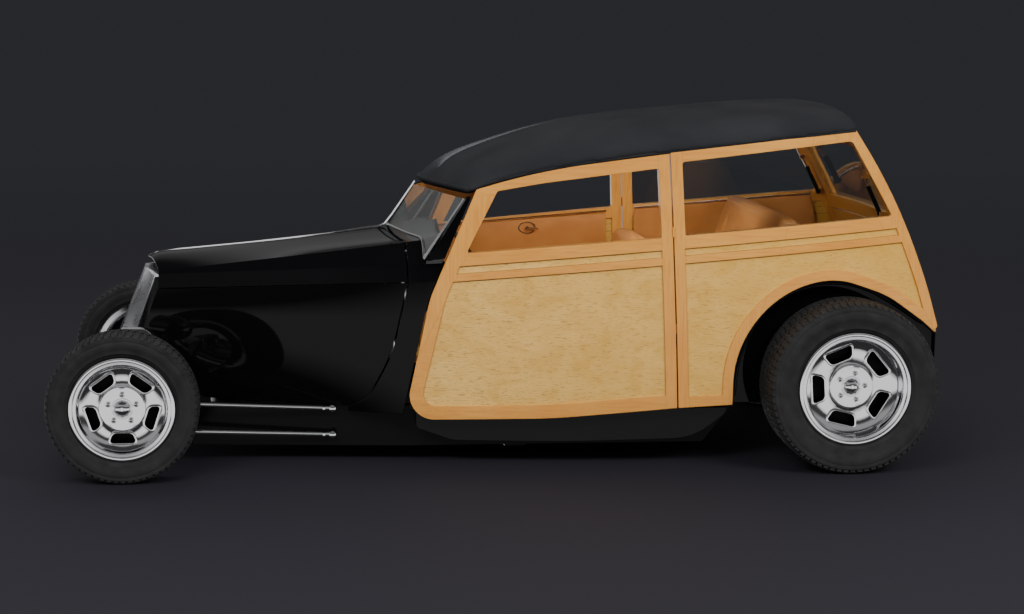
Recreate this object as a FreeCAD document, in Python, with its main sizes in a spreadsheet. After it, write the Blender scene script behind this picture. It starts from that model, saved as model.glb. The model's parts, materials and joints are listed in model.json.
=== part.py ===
import FreeCAD, Part
import math
import os
import Sketcher
from types import SimpleNamespace
from FreeCAD import Placement, Rotation, Vector

# A low two-door wood-sided station wagon with open wheels.
# Millimetres. The front points to -X, the car's left side to -Y, +Z is up.
# The origin lies on the ground, halfway along and across the car.
# Distances called "x" in this file run backwards from the front axle; along() turns them into X.

doc = FreeCAD.newDocument("wagon")
sheet = doc.addObject("Spreadsheet::Sheet", "sizes")

SIZES = [
    # running gear
    ("wheelbase", 2950, "front axle to rear axle"),
    ("front_track", 1523, "between the front tyres' centre planes"),
    ("rear_track", 1501, "between the rear tyres' centre planes"),
    ("front_tyre_radius", 301, "front tyre, outside"),
    ("front_tyre_width", 185, "front tyre, across its sidewalls"),
    ("front_bead_radius", 190.5, "front rim's bead seat, 15 inch"),
    ("front_lip_radius", 207, "front rim's outer lip"),
    ("front_rim_width", 164, "front rim over its lips"),
    ("front_dish", 34, "front disc's depth inside the lip"),
    ("rear_tyre_radius", 356, "rear tyre, outside"),
    ("rear_tyre_width", 255, "rear tyre, across its sidewalls"),
    ("rear_bead_radius", 216, "rear rim's bead seat, 17 inch"),
    ("rear_lip_radius", 233, "rear rim's outer lip"),
    ("rear_rim_width", 236, "rear rim over its lips"),
    ("rear_dish", 72, "rear disc's depth inside the lip"),
    ("tyre_wall", 11, "tyre carcass thickness"),
    ("rim_wall", 6, "rim barrel thickness"),
    ("disc_wall", 14, "wheel disc thickness"),
    ("stud_circle_radius", 57.15, "wheel studs' circle, radius"),
    ("nut_recess_radius", 11, "pocket round each wheel nut"),
    ("nut_radius", 8.5, "wheel nut"),
    ("wheel_windows", 5, "windows, nuts and spokes in each wheel"),
    ("hub_bore_radius", 20, "bore in each wheel's hub"),
    ("spindle_clearance", 0.3, "between a spindle and its hub"),
    ("kingpin_y", 640, "kingpins from the centre plane"),
    ("kingpin_radius", 15, "kingpin"),
    ("axle_drop", 96, "front axle's middle below the spindles"),
    ("steer_arm", 150, "kingpin to tie rod"),
    ("tie_rod_radius", 11, "tie rod"),
    ("link_radius", 9.5, "each bar of the front four-bar linkage"),
    ("link_upper_z", 228, "upper bar's height at the frame"),
    ("link_lower_z", 118, "lower bar's height at the frame"),
    ("link_rear_x", 835, "bars' rear pivots behind the front axle"),
    ("link_gap", 14, "bars' centres outside the frame rails"),
    ("rear_tube_radius", 38, "rear axle tubes"),
    ("differential_radius", 135, "rear axle's round housing"),
    ("propshaft_radius", 32, "torque tube"),
    # frame
    ("rail_bottom", 64, "frame rails' underside above the ground"),
    ("rail_height", 172, "frame rails, height"),
    ("rail_wall", 50, "frame rails, width"),
    ("rail_front_y", 355, "rails' outer face at the front axle"),
    ("rail_cowl_y", 468, "rails' outer face at the cowl"),
    ("rail_kick_z", 330, "rails' underside over the front axle"),
    ("rail_kick_height", 72, "rails' height over the front axle"),
    ("rear_kick_z", 436, "rails' underside over the rear axle"),
    ("rear_kick_height", 92, "rails' height over the rear axle"),
    # body stations behind the front axle
    ("hood_front", 112, "hood's front edge"),
    ("cowl_gap", 1140, "gap between hood and cowl"),
    ("door_front", 1133, "door's front edge at its foot"),
    ("door_gap", 2252, "gap between door and quarter at the foot"),
    ("door_gap_lean", 50, "that gap's lean forward up to the roof"),
    ("tail_overhang", 418, "body's rear corner behind the rear axle"),
    ("tail_bow", 40, "how far the tail bows out in plan"),
    ("body_half_width", 690, "widest half width of the body"),
    ("widest_x", 2500, "where the body is widest"),
    ("front_plan_radius", 8700, "body side's plan curve, forwards"),
    ("rear_plan_radius", 5000, "body side's plan curve, backwards"),
    ("side_barrel_radius", 5400, "body side's curve from sill to roof"),
    ("side_barrel_z", 600, "height where the side is widest"),
    # body sections
    ("side_wall", 45, "wood frame of doors and quarters"),
    ("panel_recess", 7, "wood panels inside the frame's face"),
    ("panel_wall", 24, "door and quarter panels with their lining"),
    ("skin", 4, "hood and cowl steel"),
    ("panel_gap", 6, "gaps round doors and lids"),
    ("glass_wall", 5, "window glass"),
    ("glass_recess", 19, "quarter glass inside the frame's face"),
    ("sill_rail", 52, "wood rail below the windows"),
    ("strip_rail", 30, "recessed strip below the sill rail"),
    ("belt_rail", 31, "moulding below the strip"),
    ("moulding_depth", 9, "belt moulding's thickness"),
    ("arch_band", 42, "wood band round the rear wheel arch"),
    ("floor_z", 236.4, "floor's underside"),
    ("floor_wall", 5, "floor and wheelhouse steel"),
    ("deck_z", 545, "load deck's underside"),
    ("deck_wall", 14, "load deck boards"),
    ("roof_wall", 28, "padded roof"),
    ("bow_wall", 24, "wood roof bows"),
    ("tail_wall", 38, "tailgate, liftgate and rear posts"),
    ("gate_half_width", 540, "liftgate and tailgate"),
    ("liftgate_foot", 968, "liftgate's lower edge"),
    ("liftgate_head", 1368, "liftgate's upper edge"),
    ("tailgate_foot", 575, "tailgate's lower edge"),
    ("strip_half_width", 6, "bright centre strip"),
    # grille
    ("grille_bars", 15, "bars on each side of the grille"),
    ("grille_bar_wall", 3.2, "each bar's width"),
    ("grille_bar_depth", 9, "each bar's depth"),
    ("grille_rim", 17, "bright surround's width"),
    ("grille_top_half", 195, "grille's half width at the top"),
    ("grille_foot_half", 150, "grille's half width at the foot"),
    # inside and lamps
    ("seat_half_width", 540, "bench seats"),
    ("steering_wheel_radius", 168, "steering wheel"),
    ("steering_wheel_rim", 11, "steering wheel rim, radius"),
    ("column_radius", 19, "steering column"),
    ("lamp_radius", 78, "headlamp bucket"),
    ("lamp_y", 415, "headlamps from the centre plane"),
    ("tail_lamp_radius", 38, "tail lamps"),
    ("strut_radius", 9, "gas strut cylinder"),
    ("strut_rod_radius", 4, "gas strut rod"),
]

for row, (name, value, note) in enumerate(SIZES, 1):
    sheet.set("A%d" % row, note)
    sheet.set("B%d" % row, str(value))
    sheet.setAlias("B%d" % row, name)
doc.recompute()
d = SimpleNamespace(**{name: float(sheet.get(name)) for name, value, note in SIZES})

FRONT_AXLE_X = -(d.wheelbase + d.tail_overhang + d.tail_bow - d.front_tyre_radius) / 2
LEFT = -1
RIGHT = 1
NODES = []


def along(x):
    return FRONT_AXLE_X + x


def point(x, y, z):
    return Vector(along(x), y, z)


def node(item, label):
    item.Label = label
    NODES.append(item)
    return item


def bind(item, **sizes):
    for prop, expression in sizes.items():
        item.setExpression(prop, expression)


def feature(name, shape):
    item = doc.addObject("Part::Feature", name)
    item.Shape = shape
    item.Placement = shape.Placement
    return item


def box(name, corner, length, width, height):
    item = doc.addObject("Part::Box", name)
    item.Placement = Placement(corner, Rotation())
    item.Length, item.Width, item.Height = length, width, height
    return item


def rod(name, start, end, radius):
    item = doc.addObject("Part::Cylinder", name)
    span = end - start
    item.Placement = Placement(start, Rotation(Vector(0, 0, 1), span))
    item.Height = span.Length
    if isinstance(radius, str):
        bind(item, Radius=radius)
    else:
        item.Radius = radius
    return item


def fuse(name, items):
    item = doc.addObject("Part::MultiFuse", name)
    item.Shapes = items
    return item


def cut(name, base, tool):
    item = doc.addObject("Part::Cut", name)
    item.Base = base
    item.Tool = tool
    return item


def common(name, items):
    item = doc.addObject("Part::MultiCommon", name)
    item.Shapes = items
    return item


def mirrored(name, source):
    item = doc.addObject("Part::Mirroring", name)
    item.Source = source
    item.Normal = Vector(0, 1, 0)
    item.Base = Vector(0, 0, 0)
    return item


def both_sides(name, source):
    item = doc.addObject("Part::Compound", name)
    item.Links = [source, mirrored(name + "_mirror", source)]
    return item


# Shapes made by formula

def rounded_outline(corners):
    # closed wire in the XZ plane; each corner is (x, z, radius)
    count = len(corners)
    turns = []
    for i, (x, z, radius) in enumerate(corners):
        corner = point(x, 0, z)
        before = point(corners[i - 1][0], 0, corners[i - 1][1]) - corner
        after = point(corners[(i + 1) % count][0], 0, corners[(i + 1) % count][1]) - corner
        before.normalize()
        after.normalize()
        if radius == 0:
            turns.append((corner, None, corner))
            continue
        half = before.getAngle(after) / 2
        reach = radius / math.tan(half)
        middle = before + after
        middle.normalize()
        middle = corner + middle * (radius / math.sin(half) - radius)
        turns.append((corner + before * reach, middle, corner + after * reach))
    edges = []
    for i, turn in enumerate(turns):
        following = turns[(i + 1) % count]
        if turn[1] is not None:
            edges.append(Part.Arc(turn[0], turn[1], turn[2]).toShape())
        if turn[2].distanceToPoint(following[0]) > 0.01:
            edges.append(Part.makeLine(turn[2], following[0]))
    return Part.Wire(edges)


def slab(wire, low_y, high_y):
    face = Part.Face(wire)
    face.translate(Vector(0, low_y, 0))
    return face.extrude(Vector(0, high_y - low_y, 0))


def left_slab(corners):
    # an outline carried through the whole left side
    return slab(rounded_outline(corners), -800, -300)


def polygon(points):
    return Part.Wire([Part.makeLine(a, b) for a, b in zip(points, points[1:] + points[:1])])


def loft(wires, ruled=False):
    return Part.makeLoft(wires, True, ruled)


def sheet_solid(outer, inner):
    # a solid between two grids of points that run the same way
    faces = []
    surfaces = []
    for grid in (outer, inner):
        surface = Part.BSplineSurface()
        surface.interpolate(grid)
        surfaces.append(surface)
        faces.append(surface.toShape())
    first, second = surfaces
    u_low, u_high, v_low, v_high = first.bounds()
    p_low, p_high, q_low, q_high = second.bounds()
    pairs = [
        (first.uIso(u_low), second.uIso(p_low)),
        (first.uIso(u_high), second.uIso(p_high)),
        (first.vIso(v_low), second.vIso(q_low)),
        (first.vIso(v_high), second.vIso(q_high)),
    ]
    for a, b in pairs:
        faces.append(Part.makeRuledSurface(a.toShape(), b.toShape()))
    shell = Part.makeShell(faces)
    shell.sewShape()
    solid = Part.makeSolid(shell)
    if solid.Volume < 0:
        solid.reverse()
    return solid


def plan_half_width(x):
    radius = d.front_plan_radius if x < d.widest_x else d.rear_plan_radius
    return d.body_half_width - (x - d.widest_x) ** 2 / (2 * radius)


def side_y(x, z):
    return plan_half_width(x) - (z - d.side_barrel_z) ** 2 / (2 * d.side_barrel_radius)


SIDE_STATIONS = [1000, 1250, 1500, 1750, 2000, 2250, 2500, 2750, 3000, 3250, 3500]
SIDE_LOW = 150
SIDE_HIGH = 1450


def side_layer(outer_depth, inner_depth):
    # the left body side between two depths inside its outer face
    middle_z = (SIDE_LOW + SIDE_HIGH) / 2
    wires = []
    for x in SIDE_STATIONS:
        arcs = []
        for depth in (outer_depth, inner_depth):
            arcs.append([point(x, depth - side_y(x, z), z) for z in (SIDE_LOW, middle_z, SIDE_HIGH)])
        outer, inner = arcs
        wires.append(Part.Wire([
            Part.Arc(*outer).toShape(),
            Part.makeLine(outer[2], inner[2]),
            Part.Arc(*reversed(inner)).toShape(),
            Part.makeLine(inner[0], outer[0]),
        ]))
    return loft(wires)


# Side outlines, from the driving stations

TAIL_X = d.wheelbase + d.tail_overhang


def gap_x(z):
    # the leaning gap between door and quarter
    return d.door_gap - d.door_gap_lean * (z - 250) / 1050


def window_sill_z(x):
    return 965 + 0.0865 * (x - 2272)


def door_outline(inset=0):
    rear = -d.panel_gap / 2 - inset
    return [
        (1417 + inset * 1.2, 1147 - inset, 12),
        (1690, 1228 - inset, 2600),
        (gap_x(1299) + rear, 1297 - inset, 3),
        (gap_x(250) + rear, 250 + inset, 3),
        (1735, 206 + inset, 2600),
        (d.door_front - 7 + inset, 194 + inset, 100),
        (1229 + inset, 700, 380),
    ]


def door_window():
    rear = -d.panel_gap / 2 - 45
    return [
        (1501, 1141, 14),
        (1690, 1176, 1800),
        (gap_x(1236) + rear, 1238, 10),
        (gap_x(953) + rear, window_sill_z(2160), 10),
        (1376, window_sill_z(1376), 8),
    ]


def rail_band(front, rear, top_drop, bottom_drop, front_slope=0.45):
    # a strip that runs below the window sills between two sides
    def line(x, drop):
        return window_sill_z(x) - drop
    return [
        (front - front_slope * 0, line(front, top_drop), 0),
        (rear, line(rear, top_drop), 0),
        (rear + 2, line(rear, bottom_drop), 0),
        (front - front_slope * (bottom_drop - top_drop), line(front, bottom_drop), 0),
    ]


STRIP_TOP = d.sill_rail
BELT_TOP = d.sill_rail + d.strip_rail
BELT_FOOT = BELT_TOP + d.belt_rail


def door_panel_outline(grow=0):
    rear = -d.panel_gap / 2 - 46 + grow
    top = window_sill_z(1360) - STRIP_TOP + grow
    return [
        (1349 - grow, top, 0),
        (gap_x(900) + rear, window_sill_z(2180) - STRIP_TOP + grow, 0),
        (gap_x(300) + rear, 302 - grow, 10),
        (1735, 262 - grow, 2600),
        (1190 - grow, 250 - grow, 55),
        (1292 - grow, 700, 380),
    ]


def quarter_outline():
    front = d.panel_gap / 2
    axle = d.wheelbase
    return [
        (gap_x(1301) + front, 1301, 3),
        (TAIL_X - 380, 1392, 4),
        (TAIL_X - 205, 1120, 2500),
        (TAIL_X - 62, 760, 1900),
        (TAIL_X + 10, 530, 16),
        (axle + 345, 600, 120),
        (axle + 185, 712, 420),
        (axle - 40, 790, 330),
        (axle - 300, 735, 420),
        (axle - 470, 480, 420),
        (axle - 470, 262, 4),
        (gap_x(250) + front, 250, 3),
    ]


def quarter_window():
    front = d.panel_gap / 2 + 17
    return [
        (gap_x(1265) + front + 30, 1264, 12),
        (TAIL_X - 398, 1350, 26),
        (TAIL_X - 221, window_sill_z(TAIL_X - 221), 10),
        (gap_x(965) + front + 30, window_sill_z(2272), 10),
    ]


def quarter_panel_face():
    # the panel field: the quarter's outline drawn in by the arch band, below the sill rail
    inner = Part.Face(rounded_outline(quarter_outline()).makeOffset2D(-d.arch_band))
    field = Part.Face(polygon([
        point(2200, 0, window_sill_z(2200) - STRIP_TOP),
        point(TAIL_X, 0, window_sill_z(TAIL_X) - STRIP_TOP),
        point(TAIL_X, 0, 200),
        point(2200, 0, 200),
    ]))
    return inner.common(field)


def through(face):
    moved = face.copy()
    moved.translate(Vector(0, -800, 0))
    return moved.extrude(Vector(0, 500, 0))


STRUT_Y = 520
STRUT_FOOT = (3125, 1040)
STRUT_HEAD = (3046, 1201)


# Wheels and tyres

def sketch_on(body, role, name):
    sketch = body.newObject("Sketcher::SketchObject", name)
    plane = [item for item in body.Origin.OriginFeatures if item.Role == role][0]
    sketch.AttachmentSupport = [(plane, "")]
    sketch.MapMode = "FlatFace"
    return sketch


def bound_profile(sketch, corners):
    # straight-sided profile; each corner is a pair of expressions on the sheet
    points = []
    for across, up in corners:
        points.append(Vector(sheet.evalExpression(across), sheet.evalExpression(up), 0))
    count = len(points)
    for i in range(count):
        sketch.addGeometry(Part.LineSegment(points[i], points[(i + 1) % count]), False)
    for i in range(count):
        sketch.addConstraint(Sketcher.Constraint("Coincident", i, 2, (i + 1) % count, 1))
    for i, (across, up) in enumerate(corners):
        for kind, value, text in (("DistanceX", points[i].x, across), ("DistanceY", points[i].y, up)):
            index = sketch.addConstraint(Sketcher.Constraint(kind, i, 1, value))
            sketch.setExpression("Constraints[%d]" % index, on_sheet(text))


def on_sheet(expression):
    words = []
    for word in expression.split():
        words.append("sizes." + word if word[0].isalpha() else word)
    return " ".join(words)


def wheel_placement(side, x, y, z):
    return Placement(point(x, side * y, z), Rotation(Vector(1, 0, 0), -90 * side))


def make_tyre(label, end, side, x, track, radius):
    # axis along the body's own Z, outboard side up
    body = doc.addObject("PartDesign::Body", label)
    sketch = sketch_on(body, "XZ_Plane", label + "_section")
    r, w, b = end + "_tyre_radius", end + "_tyre_width", end + "_bead_radius"
    half, lip = "0.5 * %s_rim_width" % end, end + "_lip_radius"
    outer = [
        ("%s + 0.4" % b, "%s - 14.5" % half),
        ("%s + 1.5" % lip, "%s - 11.5" % half),
        ("%s + 6" % lip, "%s - 5" % half),
        ("0.42 * %s + 0.58 * %s" % (r, b), "0.5 * %s" % w),
        ("0.78 * %s + 0.22 * %s" % (r, b), "0.49 * %s" % w),
        ("%s - 10" % r, "0.455 * %s" % w),
        ("%s - 2" % r, "0.39 * %s" % w),
        (r, "0.2 * %s" % w),
    ]
    inner = [
        ("%s - tyre_wall" % r, "0.34 * %s" % w),
        ("0.7 * %s + 0.3 * %s" % (r, b), "0.5 * %s - tyre_wall" % w),
        ("%s + 8" % lip, "%s - 8 - tyre_wall" % half),
        ("%s + 0.4" % b, "%s - 15 - tyre_wall" % half),
    ]
    lower = [(a, "0 - ( %s )" % t) for a, t in reversed(outer)]
    lower_inner = [(a, "0 - ( %s )" % t) for a, t in inner]
    bound_profile(sketch, inner[::-1][:1] + outer + lower + lower_inner[::-1] + inner[:3])
    turn = body.newObject("PartDesign::Revolution", label + "_turn")
    turn.Profile = sketch
    turn.ReferenceAxis = (sketch, ["V_Axis"])
    turn.Angle = 360
    body.Placement = wheel_placement(side, x, track / 2, radius)
    return node(body, label)


def window_arcs(inner, outer, half_angle, corner):
    # a kidney window of a wheel, centred on the +X axis
    def at(radius, angle):
        return Vector(radius * math.cos(angle), radius * math.sin(angle), 0)
    low, high = -half_angle, half_angle
    middle = (inner + outer) / 2
    return [
        Part.Arc(at(inner, low), at(inner, 0), at(inner, high)),
        Part.Arc(at(inner, high), at(middle, high * corner), at(outer, high * 0.93)),
        Part.Arc(at(outer, high * 0.93), at(outer, 0), at(outer, low * 0.93)),
        Part.Arc(at(outer, low * 0.93), at(middle, low * corner), at(inner, low)),
    ]


def make_wheel(label, end, side, x, track, radius, turned):
    body = doc.addObject("PartDesign::Body", label)
    sketch = sketch_on(body, "XZ_Plane", label + "_section")
    lip, bead, width, dish = (end + "_lip_radius", end + "_bead_radius", end + "_rim_width", end + "_dish")
    half = "0.5 * " + width
    # from the hub bore's inner end out along the disc's back, round the barrel and back over the face
    corners = [
        ("hub_bore_radius", "%s - %s - 62" % (half, dish)),
        ("hub_bore_radius + 24", "%s - %s - 62" % (half, dish)),
        ("hub_bore_radius + 30", "%s - %s - disc_wall" % (half, dish)),
        ("0.70 * %s" % lip, "%s - %s - disc_wall - 2" % (half, dish)),
        ("%s - 24" % bead, "%s - %s - disc_wall - 12" % (half, dish)),
        ("%s - 26" % bead, "40 - %s" % half),
        ("%s - 8" % bead, "30 - %s" % half),
        ("%s - 8" % bead, "8 - %s" % half),
        (lip, "5 - %s" % half),
        (lip, "0 - %s" % half),
        ("%s + 1" % lip, "0 - %s" % half),
        ("%s + 1" % lip, "11 - %s" % half),
        (bead, "14 - %s" % half),
        (bead, "34 - %s" % half),
        ("%s - 18" % bead, "44 - %s" % half),
        ("%s - 18" % bead, "%s - %s - 30" % (half, dish)),
        (bead, "%s - %s - 10" % (half, dish)),
        (bead, "%s - 14" % half),
        ("%s + 1" % lip, "%s - 11" % half),
        ("%s + 1" % lip, "%s - 1" % half),
        ("%s - 4" % lip, half),
        ("%s - 12" % lip, half),
        ("%s - 15" % lip, "%s - 6" % half),
        ("%s - 26" % lip, "%s - 8" % half),
        ("%s - 31" % lip, "%s - 14" % half),
        ("%s - 36" % lip, "%s - %s - 4" % (half, dish)),
        ("0.72 * %s" % lip, "%s - %s - 6" % (half, dish)),
        ("0.44 * %s" % lip, "%s - %s + 5" % (half, dish)),
        ("35", "%s - %s + 5" % (half, dish)),
        ("33", "%s - %s + 22" % (half, dish)),
        ("0", "%s - %s + 24" % (half, dish)),
        ("0", "%s - %s - 4" % (half, dish)),
        ("hub_bore_radius", "%s - %s - 4" % (half, dish)),
    ]
    del corners[8:10]
    bound_profile(sketch, corners)
    turn = body.newObject("PartDesign::Revolution", label + "_turn")
    turn.Profile = sketch
    turn.ReferenceAxis = (sketch, ["V_Axis"])
    turn.Angle = 360
    doc.recompute()
    lip_radius = sheet.evalExpression(lip)
    windows = sketch_on(body, "XY_Plane", label + "_window")
    windows.addGeometry(window_arcs(0.475 * lip_radius, 0.665 * lip_radius, math.radians(23), 1.12), False)
    pocket = body.newObject("PartDesign::Pocket", label + "_windows")
    pocket.Profile = windows
    pocket.Type = 1
    pocket.Midplane = True
    doc.recompute()
    nuts = sketch_on(body, "XY_Plane", label + "_nut_ring")
    nuts.AttachmentOffset = Placement(Vector(0, 0, 0), Rotation())
    centre = Vector(-d.stud_circle_radius, 0, 0)
    nuts.addGeometry(Part.Circle(centre, Vector(0, 0, 1), d.nut_recess_radius), False)
    nuts.addGeometry(Part.Circle(centre, Vector(0, 0, 1), d.nut_radius), False)
    nut_index = nuts.addConstraint(Sketcher.Constraint("Radius", 0, d.nut_recess_radius))
    nuts.setExpression("Constraints[%d]" % nut_index, "sizes.nut_recess_radius")
    recess = body.newObject("PartDesign::Pocket", label + "_nut_recess")
    recess.Profile = nuts
    recess.Reversed = True
    face_height = sheet.evalExpression("0.5 * %s - %s + 5" % (width, dish))
    nuts.AttachmentOffset = Placement(Vector(0, 0, face_height - 9), Rotation())
    recess.Length = 12
    doc.recompute()
    pattern = body.newObject("PartDesign::PolarPattern", label + "_spokes")
    pattern.Originals = [pocket, recess]
    pattern.Axis = (windows, ["N_Axis"])
    pattern.Angle = 360
    pattern.Occurrences = int(d.wheel_windows)
    bind(pattern, Occurrences="sizes.wheel_windows")
    body.Tip = pattern
    place = wheel_placement(side, x, track / 2, radius)
    body.Placement = place.multiply(Placement(Vector(), Rotation(Vector(0, 0, 1), turned)))
    return node(body, label)


WHEELS = [
    ("front_left", "front", LEFT, 0, d.front_track, d.front_tyre_radius, -90),
    ("front_right", "front", RIGHT, 0, d.front_track, d.front_tyre_radius, 90),
    ("rear_left", "rear", LEFT, d.wheelbase, d.rear_track, d.rear_tyre_radius, 4),
    ("rear_right", "rear", RIGHT, d.wheelbase, d.rear_track, d.rear_tyre_radius, 176),
]
for place_name, end, side, x, track, radius, turned in WHEELS:
    make_tyre("tyre_" + place_name, end, side, x, track, radius)
    make_wheel("wheel_" + place_name, end, side, x, track, radius, turned)


# Front suspension and steering

def disc_face_y(track, rim_width, dish):
    # distance of a wheel disc's outer face from the centre plane
    return track / 2 + rim_width / 2 - dish + 5


FRONT_HUB_Y = disc_face_y(d.front_track, d.front_rim_width, d.front_dish)
REAR_HUB_Y = disc_face_y(d.rear_track, d.rear_rim_width, d.rear_dish)
SPINDLE_Z = d.front_tyre_radius
AXLE_Z = SPINDLE_Z - d.axle_drop


def make_knuckle(label, side):
    # a fork round the axle's eye, with the spindle, brake plate and steering arm
    kingpin = side * d.kingpin_y
    web_y = kingpin + side * 27
    low_y = min(kingpin, web_y + side * 20)
    pieces = []
    for low, high in ((30.3, 62), (-62, -30.3)):
        pieces.append(rod(label + "_ear", point(0, kingpin, SPINDLE_Z + low),
                          point(0, kingpin, SPINDLE_Z + high), 26))
        pieces.append(box(label + "_bridge", point(-24, low_y, SPINDLE_Z + low), 48, 47, high - low))
    pieces.append(box(label + "_web", point(-24, min(web_y, web_y + side * 20), SPINDLE_Z - 62), 48, 20, 124))
    pieces.append(rod(label + "_spindle", point(0, web_y + side * 5, SPINDLE_Z),
                      point(0, side * (FRONT_HUB_Y - 10), SPINDLE_Z),
                      "sizes.hub_bore_radius - sizes.spindle_clearance"))
    pieces.append(rod(label + "_plate", point(0, kingpin + side * 46, SPINDLE_Z),
                      point(0, kingpin + side * 54, SPINDLE_Z), 128))
    arm_end = point(d.steer_arm, side * (d.kingpin_y - 26), SPINDLE_Z - 62)
    pieces.append(rod(label + "_arm", point(12, kingpin, SPINDLE_Z - 48), arm_end, 11))
    pieces.append(rod(label + "_eye", arm_end - Vector(0, 0, 12), arm_end + Vector(0, 0, 12), 17))
    bore = rod(label + "_bore", point(0, kingpin, SPINDLE_Z - 80), point(0, kingpin, SPINDLE_Z + 80),
               "sizes.kingpin_radius + sizes.spindle_clearance")
    return node(cut(label, fuse(label + "_forging", pieces), bore), label)


make_knuckle("knuckle_left", LEFT)
make_knuckle("knuckle_right", RIGHT)

TIE_ROD_Z = SPINDLE_Z - 62 - 12 - 26
tie_y = d.kingpin_y - 26
tie_parts = [rod("tie_bar", point(d.steer_arm, -tie_y, TIE_ROD_Z), point(d.steer_arm, tie_y, TIE_ROD_Z),
                 "sizes.tie_rod_radius")]
for side in (LEFT, RIGHT):
    foot = point(d.steer_arm, side * tie_y, TIE_ROD_Z)
    tie_parts.append(rod("tie_end", foot - Vector(0, 0, 14), foot + Vector(0, 0, 14), 15))
    tie_parts.append(rod("tie_ball", foot, foot + Vector(0, 0, 25.7), 9))
node(fuse("tie_rod", tie_parts), "tie_rod")


def beam_axle():
    # dropped I-beam: its side view profile swept as straight and sloping runs
    half_height, half_depth = 24, 19
    eye_y = d.kingpin_y
    inner_y = d.kingpin_y - 130
    path = [
        (-eye_y, SPINDLE_Z), (-eye_y + 45, SPINDLE_Z - 4), (-inner_y, AXLE_Z),
        (inner_y, AXLE_Z), (eye_y - 45, SPINDLE_Z - 4), (eye_y, SPINDLE_Z),
    ]
    upper = [point(-half_depth, y, z + half_height) for y, z in path]
    lower = [point(-half_depth, y, z - half_height) for y, z in reversed(path)]
    beam = Part.Face(polygon(upper + lower)).extrude(Vector(2 * half_depth, 0, 0))
    for front in (-half_depth, half_depth - 12):
        flute_up = [point(front, y, z + half_height - 9) for y, z in path[1:-1]]
        flute_low = [point(front, y, z - half_height + 9) for y, z in reversed(path[1:-1])]
        beam = beam.cut(Part.Face(polygon(flute_up + flute_low)).extrude(Vector(12, 0, 0)))
    for side in (LEFT, RIGHT):
        eye = Part.makeCylinder(25, 60, point(0, side * eye_y, SPINDLE_Z - 30))
        pin = Part.makeCylinder(d.kingpin_radius, 128, point(0, side * eye_y, SPINDLE_Z - 64))
        beam = beam.fuse([eye, pin])
    return beam.removeSplitter()


node(feature("front_axle", beam_axle()), "front_axle")


def rail_outer_y(x):
    reach = min(max(x / d.cowl_gap, 0), 1)
    return d.rail_front_y + (d.rail_cowl_y - d.rail_front_y) * reach


def front_links():
    solids = []
    axle_ends = (AXLE_Z + 55, AXLE_Z - 62)
    for side in (LEFT, RIGHT):
        y = side * (rail_outer_y(d.link_rear_x) + d.link_gap + 14)
        pieces = []
        for z, axle_z in zip((d.link_upper_z, d.link_lower_z), axle_ends):
            start = point(58, y, axle_z)
            end = point(d.link_rear_x, y, z)
            pieces.append(Part.makeCylinder(d.link_radius, (end - start).Length, start, end - start))
            pieces.append(Part.makeSphere(15, end))
            pieces.append(Part.makeCylinder(8, 12.4 + d.link_gap, end, Vector(0, -side, 0)))
            pieces.append(Part.makeCylinder(15, 30, point(46, y - 15, axle_z), Vector(0, 1, 0)))
            pieces.append(Part.makeCylinder(d.link_radius, 14, point(46, y, axle_z), Vector(1, 0, 0)))
            plate_y = min(y - side * 24, y - side * 16)
            pieces.append(Part.makeBox(42, 8, 30, point(19.3, plate_y, axle_z - 15)))
            pieces.append(Part.makeCylinder(7, 30, point(46, y, axle_z), Vector(0, -side, 0)))
        pieces.append(Part.makeBox(18, 8, 117, point(19.3, plate_y, AXLE_Z - 62)))
        solids.append(pieces[0].fuse(pieces[1:]).removeSplitter())
    # transverse leaf spring between the axle and the front crossmember
    for leaf, half_length in enumerate((430, 330, 230, 130)):
        low = AXLE_Z + 72 + leaf * 9
        arch = 26 - leaf * 0.5
        end_drop = arch * (half_length / 430.0) ** 2
        bottom = Part.Arc(point(-28, -half_length, low + arch - end_drop), point(-28, 0, low + arch),
                          point(-28, half_length, low + arch - end_drop)).toShape()
        top = bottom.copy()
        top.translate(Vector(0, 0, 8.6))
        ends = [Part.makeLine(bottom.valueAt(bottom.LastParameter), top.valueAt(top.LastParameter)),
                Part.makeLine(top.valueAt(top.FirstParameter), bottom.valueAt(bottom.FirstParameter))]
        face = Part.Face(Part.Wire([bottom, ends[0], top, ends[1]]))
        solids.append(face.extrude(Vector(56, 0, 0)))
    for side in (LEFT, RIGHT):
        solids.append(Part.makeBox(50, 24, 47.2, point(-25, side * 418 - 12, AXLE_Z + 24.3)))
    return Part.makeCompound(solids)


node(feature("front_suspension", front_links()), "front_suspension")


# Frame

def rail_section(x, outer_y, low, height):
    inner_y = outer_y - d.rail_wall
    return polygon([point(x, -outer_y, low), point(x, -outer_y, low + height),
                    point(x, -inner_y, low + height), point(x, -inner_y, low)])


def chassis_rail():
    low, height = d.rail_bottom, d.rail_height
    rear_y = d.rail_cowl_y - 4
    axle = d.wheelbase
    stations = [
        (-70, d.rail_front_y - 4, d.rail_kick_z, d.rail_kick_height),
        (118, rail_outer_y(118), d.rail_kick_z, d.rail_kick_height),
        (262, rail_outer_y(262), low, height),
        (d.cowl_gap, d.rail_cowl_y, low, height),
        (2400, rear_y, low, height),
        (axle - 250, rear_y, d.rear_kick_z, d.rear_kick_height),
        (axle + 330, rear_y, d.rear_kick_z, d.rear_kick_height),
    ]
    pieces = []
    for first, second in zip(stations, stations[1:]):
        pieces.append(loft([rail_section(*first), rail_section(*second)], ruled=True))
    return pieces


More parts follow.
